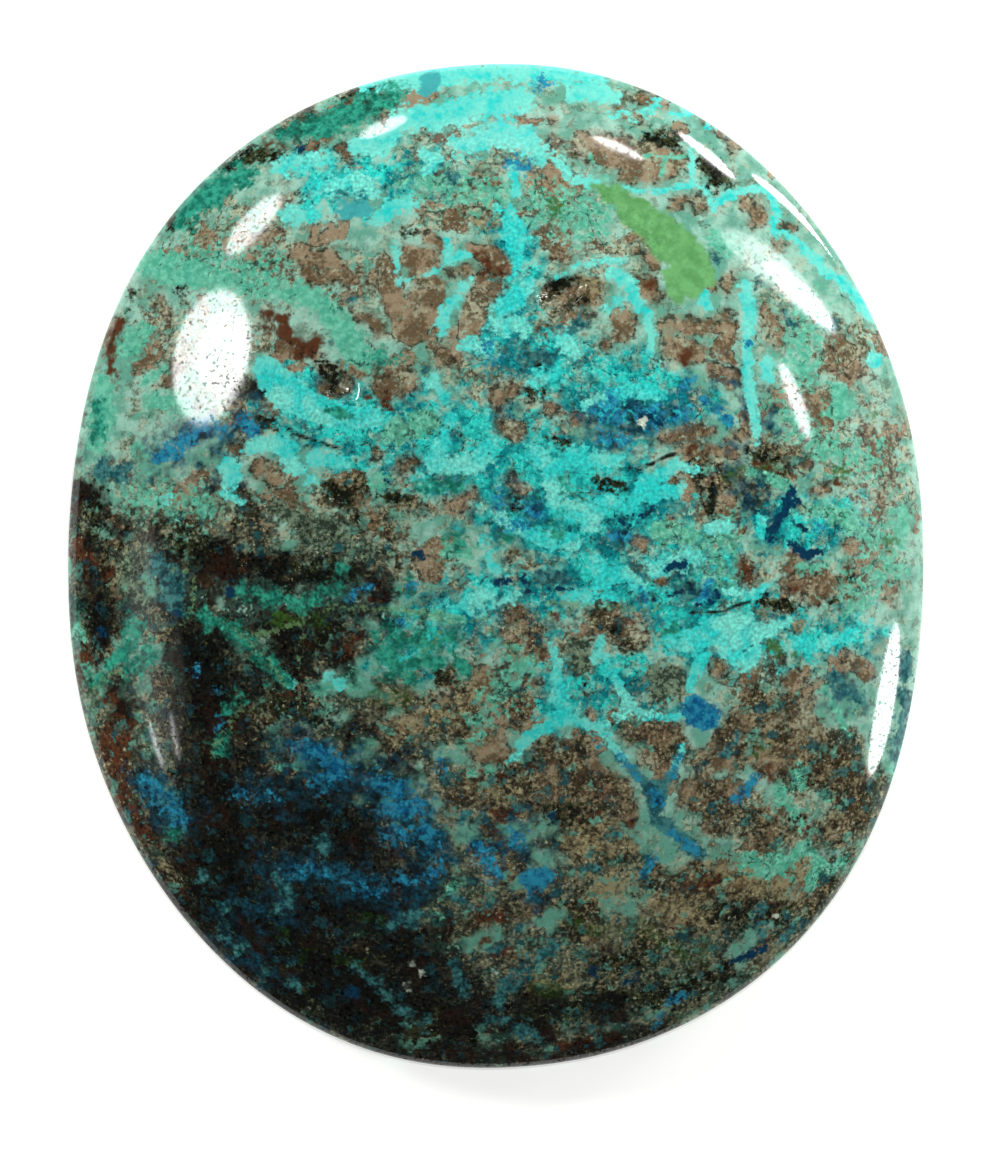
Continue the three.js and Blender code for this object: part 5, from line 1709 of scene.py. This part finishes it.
def add_lamp(name, shape, lamp, brightness):
    """An area lamp whose reflection has the given ends and width on the dome."""
    start, end, width, strength = lamp
    x, y = between(shape, start, end)
    length = math.dist(start, end)
    side_x = (start[1] - end[1]) / length * width / 2.0
    side_y = (end[0] - start[0]) / length * width / 2.0
    outwards = mirrored(shape, x * MM, y * MM)
    across = mirrored(shape, end[0] * MM, end[1] * MM) - mirrored(shape, start[0] * MM, start[1] * MM)
    along = (across - across.dot(outwards) * outwards).normalized()
    upright = outwards.cross(along)
    left = mirrored(shape, (x + side_x) * MM, (y + side_y) * MM)
    right = mirrored(shape, (x - side_x) * MM, (y - side_y) * MM)
    data = bpy.data.lights.new(name, "AREA")
    data.shape = "ELLIPSE"
    data.size = LAMP_DISTANCE * across.length
    data.size_y = LAMP_DISTANCE * abs((left - right).dot(upright))
    data.energy = strength * brightness * math.pi * math.pi / 4.0 * data.size * data.size_y
    lamp_object = bpy.data.objects.new(name, data)
    lamp_object.location = outwards * LAMP_DISTANCE
    lamp_object.rotation_euler = Matrix((along, upright, outwards)).transposed().to_euler()
    bpy.context.scene.collection.objects.link(lamp_object)


class CABOCHON_OT_stone(bpy.types.Operator):
    """Builds the polished stone in place of its frame node."""

    bl_idname = "cabochon.stone"
    bl_label = "Add Stone"

    def execute(self, context):
        shape = context.scene.cabochon_shape
        mesh = stone_mesh(shape)
        lay_minerals(mesh, shape)
        seed_set(NOISE_SEED)
        lay_clasts(mesh)
        lay_clouds(mesh)
        mesh.materials.append(polished_ore(context.scene.cabochon_colours))
        stone = bpy.data.objects.new("stone", mesh)
        context.scene.collection.objects.link(stone)
        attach(stone, "root")
        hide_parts("cabochon")
        return {"FINISHED"}


class CABOCHON_OT_stage(bpy.types.Operator):
    """Adds the floor, the lamps and the camera."""

    bl_idname = "cabochon.stage"
    bl_label = "Add Stage"

    def execute(self, context):
        scene = context.scene
        settings = scene.cabochon_stage
        bpy.ops.mesh.primitive_plane_add(size=FLOOR_SIZE, location=(0.0, 0.0, CAD_BOX[0][2]))
        floor = context.object
        floor.name = "floor"
        floor.data.materials.append(floor_material(settings))
        for name, lamp in LAMPS.items():
            add_lamp(name, scene.cabochon_shape, lamp, settings.light)
        world = bpy.data.worlds.new("studio")
        world.use_nodes = True
        background = world.node_tree.nodes["Background"]
        background.inputs["Color"].default_value = (1.0, 1.0, 1.0, 1.0)
        background.inputs["Strength"].default_value = settings.sky
        scene.world = world
        camera_data = bpy.data.cameras.new("camera")
        camera_data.sensor_width = SENSOR
        camera_data.lens = SENSOR * CAMERA_HEIGHT / FRAME_HEIGHT
        camera = bpy.data.objects.new("camera", camera_data)
        camera.location = (CAMERA_PLACE[0], CAMERA_PLACE[1], CAMERA_HEIGHT)
        camera.rotation_euler = (0.0, 0.0, CAMERA_TURN)
        scene.collection.objects.link(camera)
        scene.camera = camera
        scene.view_settings.view_transform = "Standard"
        return {"FINISHED"}


class CABOCHON_PT_panel(bpy.types.Panel):
    """Lists the stone's operators and settings."""

    bl_idname = "CABOCHON_PT_panel"
    bl_label = "Azurite Cabochon"
    bl_space_type = "VIEW_3D"
    bl_region_type = "UI"
    bl_category = "Cabochon"

    def draw(self, context):
        layout = self.layout
        layout.operator(CABOCHON_OT_stone.bl_idname)
        layout.operator(CABOCHON_OT_stage.bl_idname)
        scene = context.scene
        for group in (scene.cabochon_shape, scene.cabochon_colours, scene.cabochon_stage):
            column = layout.column()
            for name in group.__annotations__:
                column.prop(group, name)


CLASSES = (
    CabochonShape,
    CabochonColours,
    CabochonStage,
    CABOCHON_OT_stone,
    CABOCHON_OT_stage,
    CABOCHON_PT_panel,
)


def register():
    """Registers the classes and adds their settings to the scene."""
    for entry in CLASSES:
        bpy.utils.register_class(entry)
    bpy.types.Scene.cabochon_shape = PointerProperty(type=CabochonShape)
    bpy.types.Scene.cabochon_colours = PointerProperty(type=CabochonColours)
    bpy.types.Scene.cabochon_stage = PointerProperty(type=CabochonStage)


def unregister():
    """Removes the settings and the classes."""
    del bpy.types.Scene.cabochon_stage
    del bpy.types.Scene.cabochon_colours
    del bpy.types.Scene.cabochon_shape
    for entry in reversed(CLASSES):
        bpy.utils.unregister_class(entry)


def main():
    """Builds the stone and its stage."""
    register()
    bpy.ops.cabochon.stone()
    bpy.ops.cabochon.stage()


if __name__ == "__main__":
    main()
